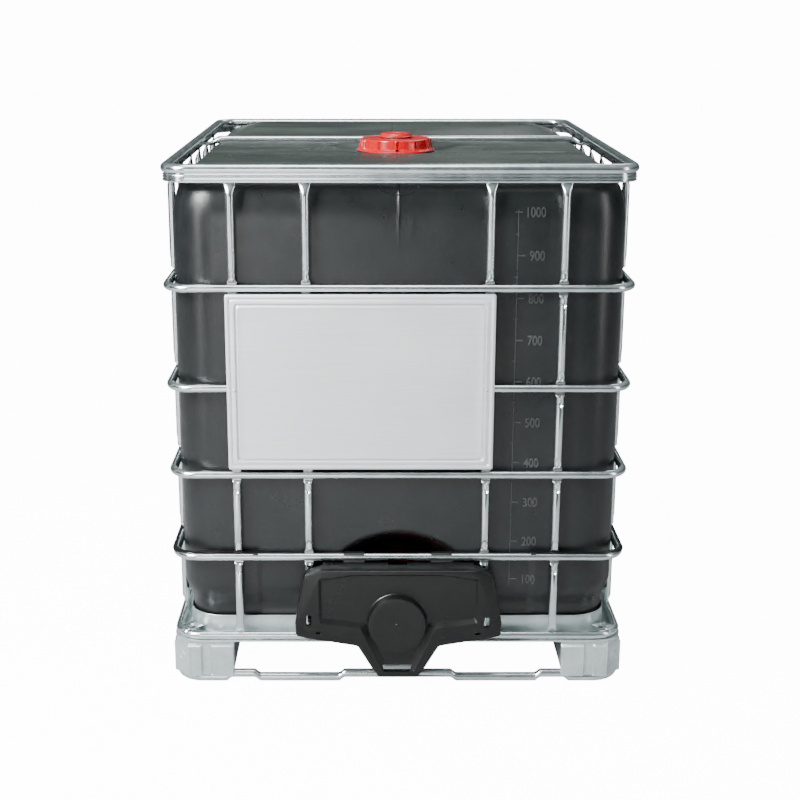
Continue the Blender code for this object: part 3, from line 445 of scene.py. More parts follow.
def finish_piece(made, look, body, *replaced, slot=None, angle=35):
    """Give a piece its material, its shading, its body and the CAD nodes that it stands for."""
    made.data.materials.clear()
    made.data.materials.append(LOOKS[look])
    made.data.shade_smooth()
    made.data.set_sharp_from_angle(angle=math.radians(angle))
    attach(made, body)
    if replaced:
        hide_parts(*replaced)
    return made


def piece(name, shape, look, body, *replaced, **options):
    return finish_piece(raw_object(name, shape), look, body, *replaced, **options)


def apply_boolean(made, other, operation):
    """Cut or join a second object into the first, and remove the second."""
    step = made.modifiers.new("step", "BOOLEAN")
    step.operation = operation
    step.solver = "EXACT"
    step.object = other
    graph = bpy.context.evaluated_depsgraph_get()
    mesh = bpy.data.meshes.new_from_object(made.evaluated_get(graph))
    made.modifiers.clear()
    made.data = mesh
    bpy.data.objects.remove(other)


def thicken(made):
    """Give an open pressing the thickness of its sheet, inwards."""
    shell = made.modifiers.new("sheet", "SOLIDIFY")
    shell.thickness = SHEET_THICKNESS
    shell.offset = -1


def circle(radius, count):
    """Points of a circle as (x, y)."""
    turn = 2 * math.pi / count
    return [(radius * math.cos(turn * step), radius * math.sin(turn * step)) for step in range(count)]


def arc(radius, start, end, count):
    """Points of an arc as (x, y), from one angle to another in degrees, in equal steps."""
    angles = [math.radians(start + (end - start) * step / count) for step in range(count + 1)]
    return [(radius * math.cos(angle), radius * math.sin(angle)) for angle in angles]


def around(base, *points):
    """(radius, height) points whose heights are measured from a base height."""
    return [(radius, base + height) for radius, height in points]


def lathe(profile, count, origin, axis="Z", closed=False, ribs=None):
    """Turn (radius, height) points about an axis through the origin.

    Heights run along +Z, or towards the front for axis "Y". A closed profile makes a ring. ribs is a
    function of (radius, height, angle) that returns what to add to the radius.
    """
    rings = []
    for radius, height in profile:
        ring = []
        for step in range(count):
            angle = 2 * math.pi * step / count
            reach = radius + (ribs(radius, height, angle) if ribs else 0.0)
            across, up = reach * math.cos(angle), reach * math.sin(angle)
            point = (across, up, height) if axis == "Z" else (across, -height, up)
            ring.append(Vector(origin) + Vector(point))
        rings.append(ring)
    return loft(rings, closed=closed)


def rounded_path(half_x, half_y, radius, steps=12):
    """A rounded rectangle in plan as (place, outward) pairs, turning left."""
    path = []
    for quarter, (side_x, side_y) in enumerate(((1, 1), (-1, 1), (-1, -1), (1, -1))):
        middle = Vector((side_x * (half_x - radius), side_y * (half_y - radius)))
        for step in range(steps + 1):
            angle = math.radians(90 * (quarter + step / steps))
            outward = Vector((math.cos(angle), math.sin(angle)))
            path.append((middle + outward * radius, outward))
    return path


def divide(path, pitch):
    """Add points along the straight runs of a closed path."""
    fine = []
    for (place, outward), (after, after_outward) in zip(path, path[1:] + path[:1]):
        count = max(1, round((after - place).length / pitch)) if (after - place).length > 2 * pitch else 1
        for step in range(count):
            share = step / count
            fine.append((place.lerp(after, share), outward.lerp(after_outward, share).normalized()))
    return fine


def sweep(path, section, height):
    """Carry (outward, up) points along a plan path; height is a number or a function of the place."""
    rings = []
    for place, outward in path:
        level = height(place) if callable(height) else height
        rings.append([(place.x + outward.x * out, place.y + outward.y * out, level + up)
                      for out, up in section])
    return rings


def rounded_polygon(outline, radius=None):
    """Round the corners of a polygon given as (x, y) points, or as (x, y, radius) points."""
    points = []
    count = len(outline)
    for index, corner in enumerate(outline):
        here = Vector(corner[:2])
        size = corner[2] if len(corner) > 2 else radius
        before = (Vector(outline[index - 1][:2]) - here).normalized()
        after = (Vector(outline[(index + 1) % count][:2]) - here).normalized()
        half = before.angle(after) / 2
        reach = size / math.tan(half)
        middle = here + (before + after).normalized() * (size / math.sin(half))
        start = here + before * reach - middle
        end = here + after * reach - middle
        sweep_angle = start.angle_signed(end)
        for step in range(CORNER_STEPS + 1):
            turn = Matrix.Rotation(-sweep_angle * step / CORNER_STEPS, 2)
            points.append(middle + turn @ start)
    return points


def rectangle(low, high, back, radius):
    """A rounded rectangle between two corners, set in by back on every side."""
    return rounded_polygon([(high[0] - back, high[1] - back), (high[0] - back, low[1] + back),
                            (low[0] + back, low[1] + back), (low[0] + back, high[1] - back)], radius)


def inset(points, distance):
    """Move a closed outline inwards by a distance, keeping its number of points."""
    count = len(points)
    area = sum(points[index - 1].cross(points[index]) for index in range(count))
    side = 1 if area > 0 else -1
    moved = []
    for index, here in enumerate(points):
        before = (here - points[index - 1]).normalized()
        after = (points[(index + 1) % count] - here).normalized()
        normal = Vector((-before.y - after.y, before.x + after.x)).normalized() * side
        lean = max(0.4, normal.dot(Vector((-before.y, before.x)) * side))
        moved.append(here + normal * (distance / lean))
    return moved


def upright_outline(points, y):
    """Outline points of (x, z) placed at one Y."""
    return [(x, y, z) for x, z in points]


# Cage ---------------------------------------------------------------------------------------------

TUBE = 0.009                   # radius of the hoops and of the cross bar
HOOPS = ("hoop_top", "hoop_upper", "hoop_lower", "hoop_guarded")
OUTER = corners("top_rail")[1]
CAGE = corners("hoop_top")[1]
CORNER = 0.060
POST = 0.0087                  # radius of an upright
HOOP_PRESS_HALF = 0.0175       # a hoop is pressed this far to each side of an upright's axis
POST_PRESS_HALF = 0.0190       # an upright is pressed this far above and below a hoop's axis
PRESS_SLOPE = 0.006            # length over which the pressing fades out
RAIL_TUBE = 0.011
RAIL_GROOVES = (0.0050, 0.0115)


def hoop_path():
    """The line of a hoop's axis around the cage."""
    return rounded_path(CAGE.x - TUBE, CAGE.y - TUBE, CORNER - TUBE + 0.003)


def post_places(side):
    """Where the uprights of one side stand, along that side."""
    nodes = [name for name in frame["nodes"] if name.startswith(f"upright_{side}_")]
    middles = [centre(name) for name in nodes]
    return sorted(middle.x if side in ("front", "rear") else middle.y for middle in middles)


def hoop_rings(height):
    """Rings of a hoop, pressed flat on the inside where it crosses an upright."""
    path = hoop_path()
    rings = []

    def add_ring(place, outward, near):
        pressed = smooth((HOOP_PRESS_HALF - near) / PRESS_SLOPE)
        inner = -TUBE + (TUBE + 0.0003) * pressed
        rings.append([(place.x + outward.x * max(out, inner), place.y + outward.y * max(out, inner),
                       height + up) for out, up in circle(TUBE, 20)])
    for index, (place, outward) in enumerate(path):
        add_ring(place, outward, 1.0)
        after = path[(index + 1) % len(path)][0]
        if (after - place).length < 0.1:
            continue
        side = ("front" if outward.y < -0.5 else "rear" if outward.y > 0.5
                else "left" if outward.x < 0 else "right")
        along = (after - place).normalized()
        axis = 0 if side in ("front", "rear") else 1
        posts = post_places(side)
        for post in posts if along[axis] > 0 else reversed(posts):
            for shift in (-0.020, -0.0165, -0.0140, -0.0120, 0.0, 0.0120, 0.0140, 0.0165, 0.020):
                spot = place.copy()
                spot[axis] = post + shift * along[axis]
                add_ring(spot, outward, abs(shift))
    return rings


def make_hoops():
    for name in HOOPS + ("base_hoop",):
        piece(name + "_tube", loft(hoop_rings(centre(name).z), closed=True), STEEL, "container", name,
              angle=60)


def make_top_rail():
    """The rail's round tube over its band, whose face has two shallow rolled grooves."""
    radius = RAIL_TUBE
    low, high = corners("top_rail")
    drop = low.z - (high.z - radius)
    out, back = radius - 0.004, radius - 0.0065
    meet = -math.sqrt(radius ** 2 - out ** 2)
    section = arc(radius, -44, 244, 24)
    section += [(back, meet - 0.001), (back, drop), (out - 0.0008, drop), (out, drop + 0.0010)]
    for groove in RAIL_GROOVES:
        for away, depth in ((-0.0018, 0.0), (-0.0011, 0.0022), (0.0008, 0.0024), (0.0018, 0.0)):
            section.append((out - depth, drop + groove + away))
    section += [(out, meet - 0.0048), (out - 0.0006, meet - 0.0036), (out - 0.0034, meet - 0.0026),
                (out - 0.0036, meet + 0.0004)]
    path = rounded_path(OUTER.x - radius, OUTER.y - radius, CORNER - radius, 14)
    rings = sweep(path, section, high.z - radius)
    piece("top_rail_profile", loft(rings, closed=True), STEEL, "container", "top_rail", angle=40)


def upright_shape(crossings, top):
    """Rings of one upright about local Z, its outer side facing -Y.

    It is pressed flat at each hoop and at its foot, has an oval dimple above and below each hoop, and
    ends in a flat fishtail behind the rail's band.
    """
    bottom = corners("upright_front_1")[0].z
    flat = -0.0005
    tail_face, tail_back = -0.0011, -0.0052
    heights = {bottom, bottom + 0.010, bottom + 0.016, bottom + 0.024, bottom + 0.034}
    for level in crossings:
        heights |= {level + 0.0025 * step for step in range(-17, 18)}
    heights |= {top - step for step in (0.0, 0.004, 0.009, 0.0145, 0.018, 0.024, 0.030, 0.038, 0.045)}
    levels = [level for level in sorted(heights) if bottom <= level <= top]
    rings = []
    for level in levels:
        near = min(abs(level - crossing) for crossing in crossings)
        pressed = smooth((POST_PRESS_HALF - near) / PRESS_SLOPE)
        foot = smooth((bottom + 0.034 - level) / 0.016)
        tail = smooth((level - (top - 0.040)) / 0.026)
        ring = []
        for out, across in circle(POST, 28):
            limit = flat + (POST - flat) * (1 - max(pressed, foot))
            wide = 1 + 0.10 * pressed + 0.22 * foot + 0.42 * tail
            if out > 0:
                oval = ((near - 0.0270) / 0.0150) ** 2 + (across / 0.0056) ** 2
                out -= 0.0046 * smooth((1 - oval) * 2.2)
            out = min(out, limit)
            squeezed = (tail_face + tail_back) / 2 + out * 0.235
            out = out * (1 - tail) + squeezed * tail
            ring.append((across * wide, -out, level))
        rings.append(ring)
    return rings


def weld_amount(level, crossings, top):
    """How brown the tube is: strongest at the welds, gone a few millimetres away."""
    near = min(abs(level - crossing) for crossing in crossings)
    return 0.55 * bump_at(near, 0.0115, 0.006) + 0.45 * smooth((level - top + 0.017) / 0.006)


def make_uprights():
    """Twenty pressed tubes that share one mesh."""
    crossings = [centre(name).z for name in HOOPS]
    top = corners("upright_front_1")[1].z
    pattern = raw_object("upright_pattern", loft(upright_shape(crossings, top)))
    mesh = pattern.data
    bpy.data.objects.remove(pattern)
    marks = mesh.attributes.new("weld", "FLOAT", "POINT")
    for point in mesh.vertices:
        marks.data[point.index].value = weld_amount(point.co.z, crossings, top)
    turns = {"front": 0, "right": 90, "rear": 180, "left": 270}
    for node in (name for name in frame["nodes"] if name.startswith("upright_")):
        side = node.split("_")[1]
        made = bpy.data.objects.new(node + "_tube", mesh)
        bpy.context.scene.collection.objects.link(made)
        place = centre(node)
        if side in ("front", "rear"):
            place = (place.x, math.copysign(CAGE.y - POST, place.y), 0)
        else:
            place = (math.copysign(CAGE.x - POST, place.x), place.y, 0)
        made.location = place
        made.rotation_euler = (0, 0, math.radians(turns[side]))
        finish_piece(made, STEEL, "container", node, angle=50)


def make_cross_bar():
    """A round bar whose ends are pressed flat and turned down to the rail's band."""
    low, high = corners("cross_bar")
    level, bolt_level = high.z - TUBE, centre("cross_bar_bolt_left").z
    y = centre("cross_bar").y
    end = high.x
    stations = [-end + 0.0002] + [-end + 0.008 * step for step in range(1, 6)]
    stations += [-end + 0.050, -0.30, 0.0]
    stations += [-place for place in reversed(stations[:-1])]
    rings = []
    for x in stations:
        share = smooth((abs(x) - (end - 0.046)) / 0.030)
        flat = smooth((abs(x) - (end - 0.036)) / 0.014)
        middle = level + (bolt_level - level) * share
        rings.append([(x, y + across * (1 + 0.22 * flat), middle + up * (1 - 0.42 * flat))
                      for across, up in circle(TUBE, 18)])
    piece("cross_bar_tube", loft(rings), STEEL, "container", "cross_bar", angle=50)
    for side in ("left", "right"):
        node = f"cross_bar_bolt_{side}"
        low, high = corners(node)
        sign = math.copysign(1, low.x)
        outer = max(abs(low.x), abs(high.x))
        dome = around(outer, (0.0004, 0.0), (0.0038, -0.0003), (0.0066, -0.0011), (0.0079, -0.0024),
                      (0.0080, -0.0030), (0.0038, -0.0031), (0.0038, -0.0140))
        verts, faces = lathe(dome, 24, (0, 0, 0))
        turned = [(sign * z, y + up, bolt_level + across) for across, up, z in verts]
        piece(node + "_head", (turned, faces), STEEL, "container", node, slot=STEEL)


# Bottle -------------------------------------------------------------------------------------------

BOTTLE_LOW, BOTTLE_HIGH = corners("bottle")
HALF_X, HALF_Y = BOTTLE_HIGH.x, BOTTLE_HIGH.y
EDGE = 0.092                   # radius of the upright corners
TOP_EDGE = 0.052               # the shoulder comes in this far over TOP_RISE
TOP_RISE = 0.110
FOOT_EDGE = 0.050
FOOT_IN = 0.017                # the foot stands this far in from the wall
WAIST = 0.165
SHOULDER = 1.1390
REAR_DOME = 1.1580
NECK_LEVEL = 1.1275
NECK_BORE, NECK_RADIUS = 0.0700, 0.0765
STUB_BORE, STUB_RADIUS, STUB_END = 0.0235, 0.0365, 0.4870
VALVE = centre("valve_outlet")
RECESS_FRONT, RECESS_BACK, RECESS_DEPTH = 0.183, 0.118, 0.122
SEAM_X = -0.002                # the mould's parting line
SEAM_HALF = 0.0019
CORNER_ARC = 9
SCALE_X = 0.2475               # the scale's long line
SCALE_RIGHT = 0.3050           # right edge of its numbers
MARK_PITCH = 0.091
FIRST_MARK = 0.240
NUMERAL_HEIGHT = 0.0205


def grid_lines(start, end, pitch, extra=()):
    """Evenly spaced places, with any extra ones let in between them."""
    count = max(1, round((end - start) / pitch))
    places = [start + (end - start) * step / count for step in range(count + 1)]
    keep = [place for place in places if all(abs(place - other) > pitch * 0.35 for other in extra)
            or place in (start, end)]
    return sorted(keep + list(extra))


def front_relief(x, z):
    """How far the bottle's front is set back from flat at (x, z)."""
    panel = smooth((0.307 - abs(x + 0.005)) / 0.007) * smooth((z - 0.150) / 0.010)
    panel *= smooth((0.304 - z) / 0.007)
    depth = 0.0035 * panel
    fold = bump_at(z, 0.361, 0.0035) * smooth((0.186 - abs(x)) / 0.012)
    depth += 0.0013 * fold - 0.0010 * bump_at(z, 0.380, 0.006) * smooth((0.18 - abs(x)) / 0.02)
    depth -= 0.0014 * bump_at(x, SEAM_X, SEAM_HALF) * smooth((z - 0.385) / 0.01)
    depth -= 0.0005 * bump_at(x, 0.028, 0.004) * smooth((z - 0.900) / 0.05)
    strip = smooth((0.040 - abs(x - 0.280)) / 0.004) * smooth((z - 0.170) / 0.006)
    depth += 0.0007 * strip * smooth((1.094 - z) / 0.006)
    pillow = (1 - (x / HALF_X) ** 2) * bump_at(z, 0.60, 0.50)
    depth -= 0.0022 * pillow
    return depth + 0.0011 * noise.noise(Vector((x * 4.2, 0.3, z * 3.4)))


def recess_depth(x, z):
    """Depth of the valve recess, whose wall is a cone with a rounded rim and foot."""
    reach = math.hypot(x, z - VALVE.z)
    share = (RECESS_FRONT - reach) / (RECESS_FRONT - RECESS_BACK)
    soft = 0.10
    if share < -soft:
        return 0.0
    if share < soft:
        return RECESS_DEPTH * (share + soft) ** 2 / (4 * soft)
    if share > 1 + soft:
        return RECESS_DEPTH
    if share > 1 - soft:
        return RECESS_DEPTH * (1 - (1 + soft - share) ** 2 / (4 * soft))
    return RECESS_DEPTH * share


def side_wave(y, z):
    """Slow blowing waves on the long sides and the rear."""
    return 0.0012 * noise.noise(Vector((2.0, y * 3.6, z * 3.1)))


def top_level(x, y):
    """Height of the bottle's top: nearly flat in front, a dome behind the cross bar's groove."""
    bar = centre("cross_bar").y
    across = smooth((0.455 - abs(x)) / 0.10)
    groove = smooth((0.060 - abs(y - bar)) / 0.034) * smooth((0.475 - abs(x)) / 0.03)
    dome = smooth((y - bar - 0.035) / 0.15) * smooth((0.575 - y) / 0.06) * across
    crease = bump_at(y, -0.150 + 0.03 * abs(x), 0.022) * smooth((abs(x) - 0.22) / 0.14) * across
    collar = smooth((0.170 - math.hypot(x, y)) / 0.060)
    swell = 0.0016 * across * bump_at(y, -0.30, 0.22)
    level = SHOULDER + swell - 0.0050 * crease + (REAR_DOME - SHOULDER) * dome
    level -= (level - NECK_LEVEL) * max(collar, groove)
    seam = 0.0010 * bump_at(x, SEAM_X, SEAM_HALF) * smooth((abs(y) - 0.11) / 0.01)
    waves = noise.noise(Vector((x * 3.0, y * 9.0, 4.0))) + 0.5 * noise.noise(Vector((x * 9, y * 16, 8.0)))
    return level + seam + 0.0019 * waves * across * (1 - collar)


def waist_back(z):
    """How far the skin is set in below the waist, where the bottle stands in the tray."""
    return FOOT_IN * (1 - smooth((z - WAIST) / 0.058))


def bottle_ring(z, back, xs, ys):
    """One level of the bottle's skin; back is how far the level is set in by a rounded edge."""
    front = []
    for x in xs:
        y = -(HALF_Y - back) + front_relief(x, z) * (1 - back / EDGE)
        front.append((x, max(y, -HALF_Y + recess_depth(x, z)), z))
    right = [(HALF_X - back + side_wave(y, z), y, z) for y in ys]
    rear = [(x, HALF_Y - back + side_wave(x + 3, z), z) for x in reversed(xs)]
    left = [(-HALF_X + back + side_wave(y + 5, z), y, z) for y in reversed(ys)]
    ring = []
    turns = ((front, -90, 1, -1), (right, 0, 1, 1), (rear, 90, -1, 1), (left, 180, -1, -1))
    for side, start, side_x, side_y in turns:
        corner = arc(EDGE - back, start, start + 90, CORNER_ARC)[1:-1]
        ring += side
        ring += [(side_x * (HALF_X - EDGE) + x, side_y * (HALF_Y - EDGE) + y, z) for x, y in corner]
    return ring


def bottle_levels():
    """Heights of the bottle's rings with how far each is set in: foot, waist, wall and shoulder."""
    bottom = BOTTLE_LOW.z
    levels = []
    for step in range(7):
        angle = math.radians(90 * step / 7)
        levels.append((bottom + FOOT_EDGE * (1 - math.cos(angle)),
                       FOOT_IN + FOOT_EDGE * (1 - math.sin(angle))))
    low = grid_lines(bottom + FOOT_EDGE, 0.385, 0.0055, (0.3585, 0.3610, 0.3635))
    high = grid_lines(0.385, SHOULDER - TOP_RISE, 0.0115)
    levels += [(z, waist_back(z)) for z in low + high[1:]]
    for step in range(1, 17):
        angle = math.radians(90 * step / 16)
        levels.append((SHOULDER - TOP_RISE + TOP_RISE * math.sin(angle),
                       TOP_EDGE * (1 - math.cos(angle))))
    return levels


def lifted(point):
    """A point of the top, moved to the level of the domes as it comes in from the shoulder."""
    x, y, z = point
    inner = max(abs(x) - (HALF_X - TOP_EDGE), abs(y) - (HALF_Y - TOP_EDGE))
    share = smooth((0.030 - inner) / 0.030)
    return x, y, z + (top_level(x, y) - SHOULDER) * share


def make_bottle():
    """The bottle's skin: lofted levels from the foot to the shoulder, then a grid over the top."""
    seam = (SEAM_X - 0.0020, SEAM_X - 0.0009, SEAM_X, SEAM_X + 0.0009, SEAM_X + 0.0020)
    xs = grid_lines(-(HALF_X - EDGE), HALF_X - EDGE, 0.0058, seam)
    ys = grid_lines(-(HALF_Y - EDGE), HALF_Y - EDGE, 0.012)
    rings = [bottle_ring(z, back, xs, ys) for z, back in bottle_levels()]
    for back in (0.058, 0.065, 0.072, 0.079, 0.086, EDGE):
        rings.append(bottle_ring(SHOULDER, back, xs, ys))
    rings = [[lifted(point) if point[2] > SHOULDER - 0.02 else point for point in ring] for ring in rings]
    verts, faces = loft(rings)
    faces.pop()
    start = len(verts)
    for y in ys:
        verts += [lifted((x, y, SHOULDER)) for x in xs]
    for row in range(len(ys) - 1):
        for column in range(len(xs) - 1):
            x, y = (xs[column] + xs[column + 1]) / 2, (ys[row] + ys[row + 1]) / 2
            if math.hypot(x, y) > NECK_BORE + 0.001:
                here = start + row * len(xs) + column
                faces.append((here, here + 1, here + 1 + len(xs), here + len(xs)))
    piece("bottle_skin", (verts, faces), BOTTLE, "container", "bottle", angle=60)
    make_neck()
    make_scale()
    make_parting_crest()


def make_neck():
    """The neck with its thread, its collar on the bottle's top, and the outlet stub."""
    bore, radius = NECK_BORE, NECK_RADIUS
    profile = around(NECK_LEVEL, (0.0905, -0.0040), (0.0900, 0.0012), (0.0880, 0.0018),
                     (0.0785, 0.0018), (radius, 0.0035))
    profile += around(BOTTLE_HIGH.z, (radius, -0.0012), (radius - 0.0012, 0.0), (bore + 0.0012, 0.0),
                      (bore, -0.0012))
    profile += around(NECK_LEVEL, (bore, -0.0600), (bore + 0.0040, -0.0600), (bore + 0.0040, -0.0040))
    parts = [lathe(profile, 96, (0, 0, 0), closed=True)]
    rings = []
    turns, pitch, steps = 2.2, 0.007, 150
    for step in range(steps + 1):
        angle = 2 * math.pi * turns * step / steps
        level = NECK_LEVEL + 0.0060 + pitch * turns * step / steps
        fade = smooth(step / 10) * smooth((steps - step) / 10)
        crest = radius + 0.0031 * fade
        bead = ((radius - 0.0010, -0.0022), (crest, -0.0007), (crest, 0.0007), (radius - 0.0010, 0.0022))
        rings.append([(reach * math.cos(angle), reach * math.sin(angle), level + up) for reach, up in bead])
    parts.append(loft(rings))
    stub = around(STUB_END, (STUB_RADIUS, -0.0310), (STUB_RADIUS, -0.0008), (STUB_RADIUS - 0.0008, 0.0),
                  (STUB_BORE + 0.0008, 0.0), (STUB_BORE, -0.0008), (STUB_BORE, -0.0310))
    parts.append(lathe(stub, 48, (0, 0, VALVE.z), axis="Y", closed=True))
    piece("bottle_neck_and_stub", combine(parts), BOTTLE, "container")


def on_front(x, z, proud):
    """A point a little proud of the bottle's front."""
    over = max(0.0, z - (SHOULDER - TOP_RISE)) / TOP_RISE
    back = waist_back(z) + TOP_EDGE * (1 - math.sqrt(max(0.0, 1 - over ** 2)))
    return (x, -(HALF_Y - back) + front_relief(x, z) * (1 - back / EDGE) - proud, z)


def ridge(points, half, height):
    """A raised line on the bottle's front through (x, z) points."""
    rings = []
    for index, here in enumerate(points):
        before = Vector(points[max(0, index - 1)])
        after = Vector(points[min(len(points) - 1, index + 1)])
        along = (after - before).normalized()
        across = Vector((-along.y, along.x))
        ring = []
        for share, proud in ((-1.0, -0.0006), (-0.55, height), (0.55, height), (1.0, -0.0006)):
            spot = Vector(here) + across * half * share
            ring.append(on_front(spot.x, spot.y, proud))
        rings.append(ring)
    return loft(rings)


def numeral(text, right, z, height):
    """A raised number with bevelled edges on the bottle's front, its middle at height z."""
    curve = bpy.data.curves.new("numeral", "FONT")
    curve.body = text
    curve.align_x = "RIGHT"
    curve.size = height / 0.70
    curve.extrude = 0.0005
    curve.bevel_depth = 0.0005
    curve.bevel_resolution = 0
    curve.resolution_u = 4
    holder = bpy.data.objects.new("numeral", curve)
    bpy.context.scene.collection.objects.link(holder)
    graph = bpy.context.evaluated_depsgraph_get()
    mesh = bpy.data.meshes.new_from_object(holder.evaluated_get(graph))
    bpy.data.objects.remove(holder)
    verts = []
    for point in mesh.vertices:
        place = Vector((right + point.co.x * 0.74, z - height / 2 + point.co.y))
        verts.append(on_front(place.x, place.y, 1.9 * point.co.z if point.co.z > 0 else -0.0004))
    return verts, [tuple(face.vertices) for face in mesh.polygons]


def make_scale():
    """The litre scale: a long line, a short mark at each hundred litres, and its number."""
    parts = [ridge([(SCALE_X, 0.225 + step * 0.012) for step in range(71)], 0.0009, 0.0010)]
    for index in range(1, 11):
        z = FIRST_MARK + MARK_PITCH * (index - 1)
        start = SCALE_X if index < 10 else SCALE_X - 0.007
        parts.append(ridge([(start, z), (start + 0.008, z), (start + 0.0155, z)], 0.0014, 0.0013))
        parts.append(numeral(str(100 * index), SCALE_RIGHT, z, NUMERAL_HEIGHT))
        if index < 10:
            half = z + MARK_PITCH / 2
            parts.append(ridge([(SCALE_X - 0.005, half), (SCALE_X + 0.003, half)], 0.0010, 0.0009))
    piece("litre_scale", combine(parts), "scale_marks", "container", slot=BOTTLE, angle=30)


def make_parting_crest():
    """Two curved ridges where the parting line reaches the shoulder."""
    parts = []
    for side in (-1, 1):
        points = []
        for step in range(12):
            angle = math.radians(90 * step / 11)
            points.append((SEAM_X + side * 0.062 * math.sin(angle) * 0.72,
                           1.094 + 0.028 * (1 - math.cos(angle))))
        parts.append(ridge(points, 0.0012, 0.0011))
    piece("parting_crest", combine(parts), BOTTLE, "container", angle=30)


# Lid ----------------------------------------------------------------------------------------------

RIBS = 12
LID_BORE = 0.0815
LID_CEILING = 0.0035           # below the lid's top
VENT_BOSS = 0.0345
VENT_BORE = 0.0300
EYE_BORE = 0.0028


def lid_grip(radius, height, angle):
    """Twelve upright grip ribs, each with a slit on one side, on the lid's wall."""
    low, high = corners("lid")
    if radius < 0.0835 or height < low.z + 0.0045:
        return 0.0
    spacing = 2 * math.pi / RIBS
    offset = (angle + spacing / 2) % spacing - spacing / 2
    rib = 0.0036 * smooth(1.25 - abs(offset) / 0.030)
    slit = -0.0030 * bump_at(offset, 0.056, 0.024)
    hollow = -0.0008 * math.cos(offset * RIBS / 2) ** 2
    fade = smooth((high.z - 0.0015 - height) / 0.004) * smooth((height - low.z - 0.004) / 0.004)
    return (rib + slit + hollow) * fade


def make_lid():
    low, high = corners("lid")
    profile = around(high.z, (0.0560, -0.0006), (0.0790, -0.0006), (0.0800, 0.0), (0.0822, -0.0003),
                     (0.0838, -0.0013), (0.0846, -0.0030))
    profile += [(0.0848 + 0.0016 * step / 10, high.z - 0.0045 - 0.0170 * step / 10) for step in range(11)]
    profile += around(low.z, (0.0880, 0.0060), (0.0908, 0.0042), (0.0936, 0.0030), (0.0948, 0.0016),
                      (0.0948, 0.0002), (0.0940, 0.0), (LID_BORE, 0.0))
    profile += around(high.z - LID_CEILING, (LID_BORE, 0.0), (VENT_BOSS, 0.0), (VENT_BOSS, -0.0080),
                      (VENT_BORE, -0.0080))
    profile += around(high.z, (VENT_BORE, -0.0006), (0.0425, -0.0006), (0.0432, 0.0004),
                      (0.0448, 0.0004), (0.0456, -0.0006))
    made = raw_object("lid_cap", lathe(profile, 288, (0, 0, 0), closed=True, ribs=lid_grip))
    eye = (0.002, 0, low.z + 0.0062)
    hole = raw_object("eye", lathe([(EYE_BORE, 0.08), (EYE_BORE, 0.11)], 20, eye, axis="Y"))
    apply_boolean(made, hole, "DIFFERENCE")
    finish_piece(made, RED, "lid", "lid", angle=32)
    collar = [(EYE_BORE, 0.0870), (EYE_BORE, 0.0905), (0.0032, 0.0912), (0.0044, 0.0912),
              (0.0048, 0.0905), (0.0048, 0.0870)]
    piece("lid_eyelet", lathe(collar, 20, eye, axis="Y", closed=True), RED, "lid")
    make_vent_plug()
    lug = [(0.0008, 0.0), (0.0040, 0.0), (0.0042, 0.0022), (0.0034, 0.0034), (0.0008, 0.0036)]
    piece("seal_lug", lathe(lug, 20, (0.006, -0.104, NECK_LEVEL - 0.0006)), STEEL, "container")


def make_vent_plug():
    """The raised plug: a bevelled disc with a shallow wrench socket and a threaded shank."""
    low, high = corners("vent_plug")
    head = high.z - 0.0094
    shank, root = 0.0292, 0.0278
    profile = around(high.z, (0.0004, -0.0030), (0.0130, -0.0030), (0.0142, -0.0022), (0.0150, -0.0004),
                     (0.0160, 0.0), (0.0330, 0.0), (0.0346, -0.0004), (0.0356, -0.0014),
                     (0.0384, -0.0066), (0.0398, -0.0074), (0.0400, -0.0082))
    profile += around(head, (0.0400, 0.0004), (0.0396, 0.0), (shank, 0.0))
    for turn in range(4):
        profile += around(head - 0.0016 - turn * 0.0030, (shank, 0.0), (root, -0.0009), (root, -0.0018),
                          (shank, -0.0027))
    profile += [(0.0288, low.z), (0.0004, low.z)]
    piece("vent_plug_cap", lathe(profile, 120, (0, 0, 0)), RED, "vent_plug", "vent_plug", angle=30)


# Valve --------------------------------------------------------------------------------------------

STEM_HOLE = 0.0078
HUB = 0.0164
GRIP_HALF = 0.0096


def grip_ribs(count, depth, start, end):
    """Axial ribs around a turned piece between two heights."""
    def ribs(radius, height, angle):
        if not start < height < end:
            return 0.0
        return depth * (0.5 + 0.5 * math.cos(angle * count))
    return ribs


def make_valve():
    """Finer skins of the valve's outer pieces, which show when the flap is up."""
    origin = (0, 0, VALVE.z)
    back, front = -corners("union_nut")[1].y, -corners("union_nut")[0].y
    nut = [(0.0370, back), (0.0460, back), (0.0468, back + 0.0010)]
    nut += [(0.0468, back + 0.0010 + 0.0240 * step / 6) for step in range(1, 7)]
    nut += [(0.0456, front - 0.0030), (0.0440, front), (0.0300, front), (0.0300, front - 0.0048),
            (0.0370, front - 0.0048)]
    ribs = grip_ribs(24, 0.0017, back + 0.0015, front - 0.0036)
    piece("union_nut_ring", lathe(nut, 144, origin, axis="Y", closed=True, ribs=ribs), BLACK, "container",
          "union_nut", angle=30)
    cap_back, cap_front = -corners("dust_cap")[1].y, -corners("dust_cap")[0].y
    inner = cap_front - 0.0035
    cap = around(cap_front, (0.0004, -0.0016), (0.0180, -0.0016), (0.0190, 0.0), (0.0325, 0.0),
                 (0.0340, -0.0010), (0.0345, -0.0030))
    cap += [(0.0345, cap_front - 0.0030 - 0.0210 * step / 6) for step in range(1, 7)]
    cap += [(0.0356, cap_back + 0.0010), (0.0356, cap_back), (0.0303, cap_back), (0.0303, inner),
            (0.0004, inner)]
    ribs = grip_ribs(36, 0.0013, cap_back + 0.0028, cap_front - 0.0026)
    piece("dust_cap_shell", lathe(cap, 216, origin, axis="Y", ribs=ribs), RED, "dust_cap", "dust_cap",
          angle=30)
    make_handle()


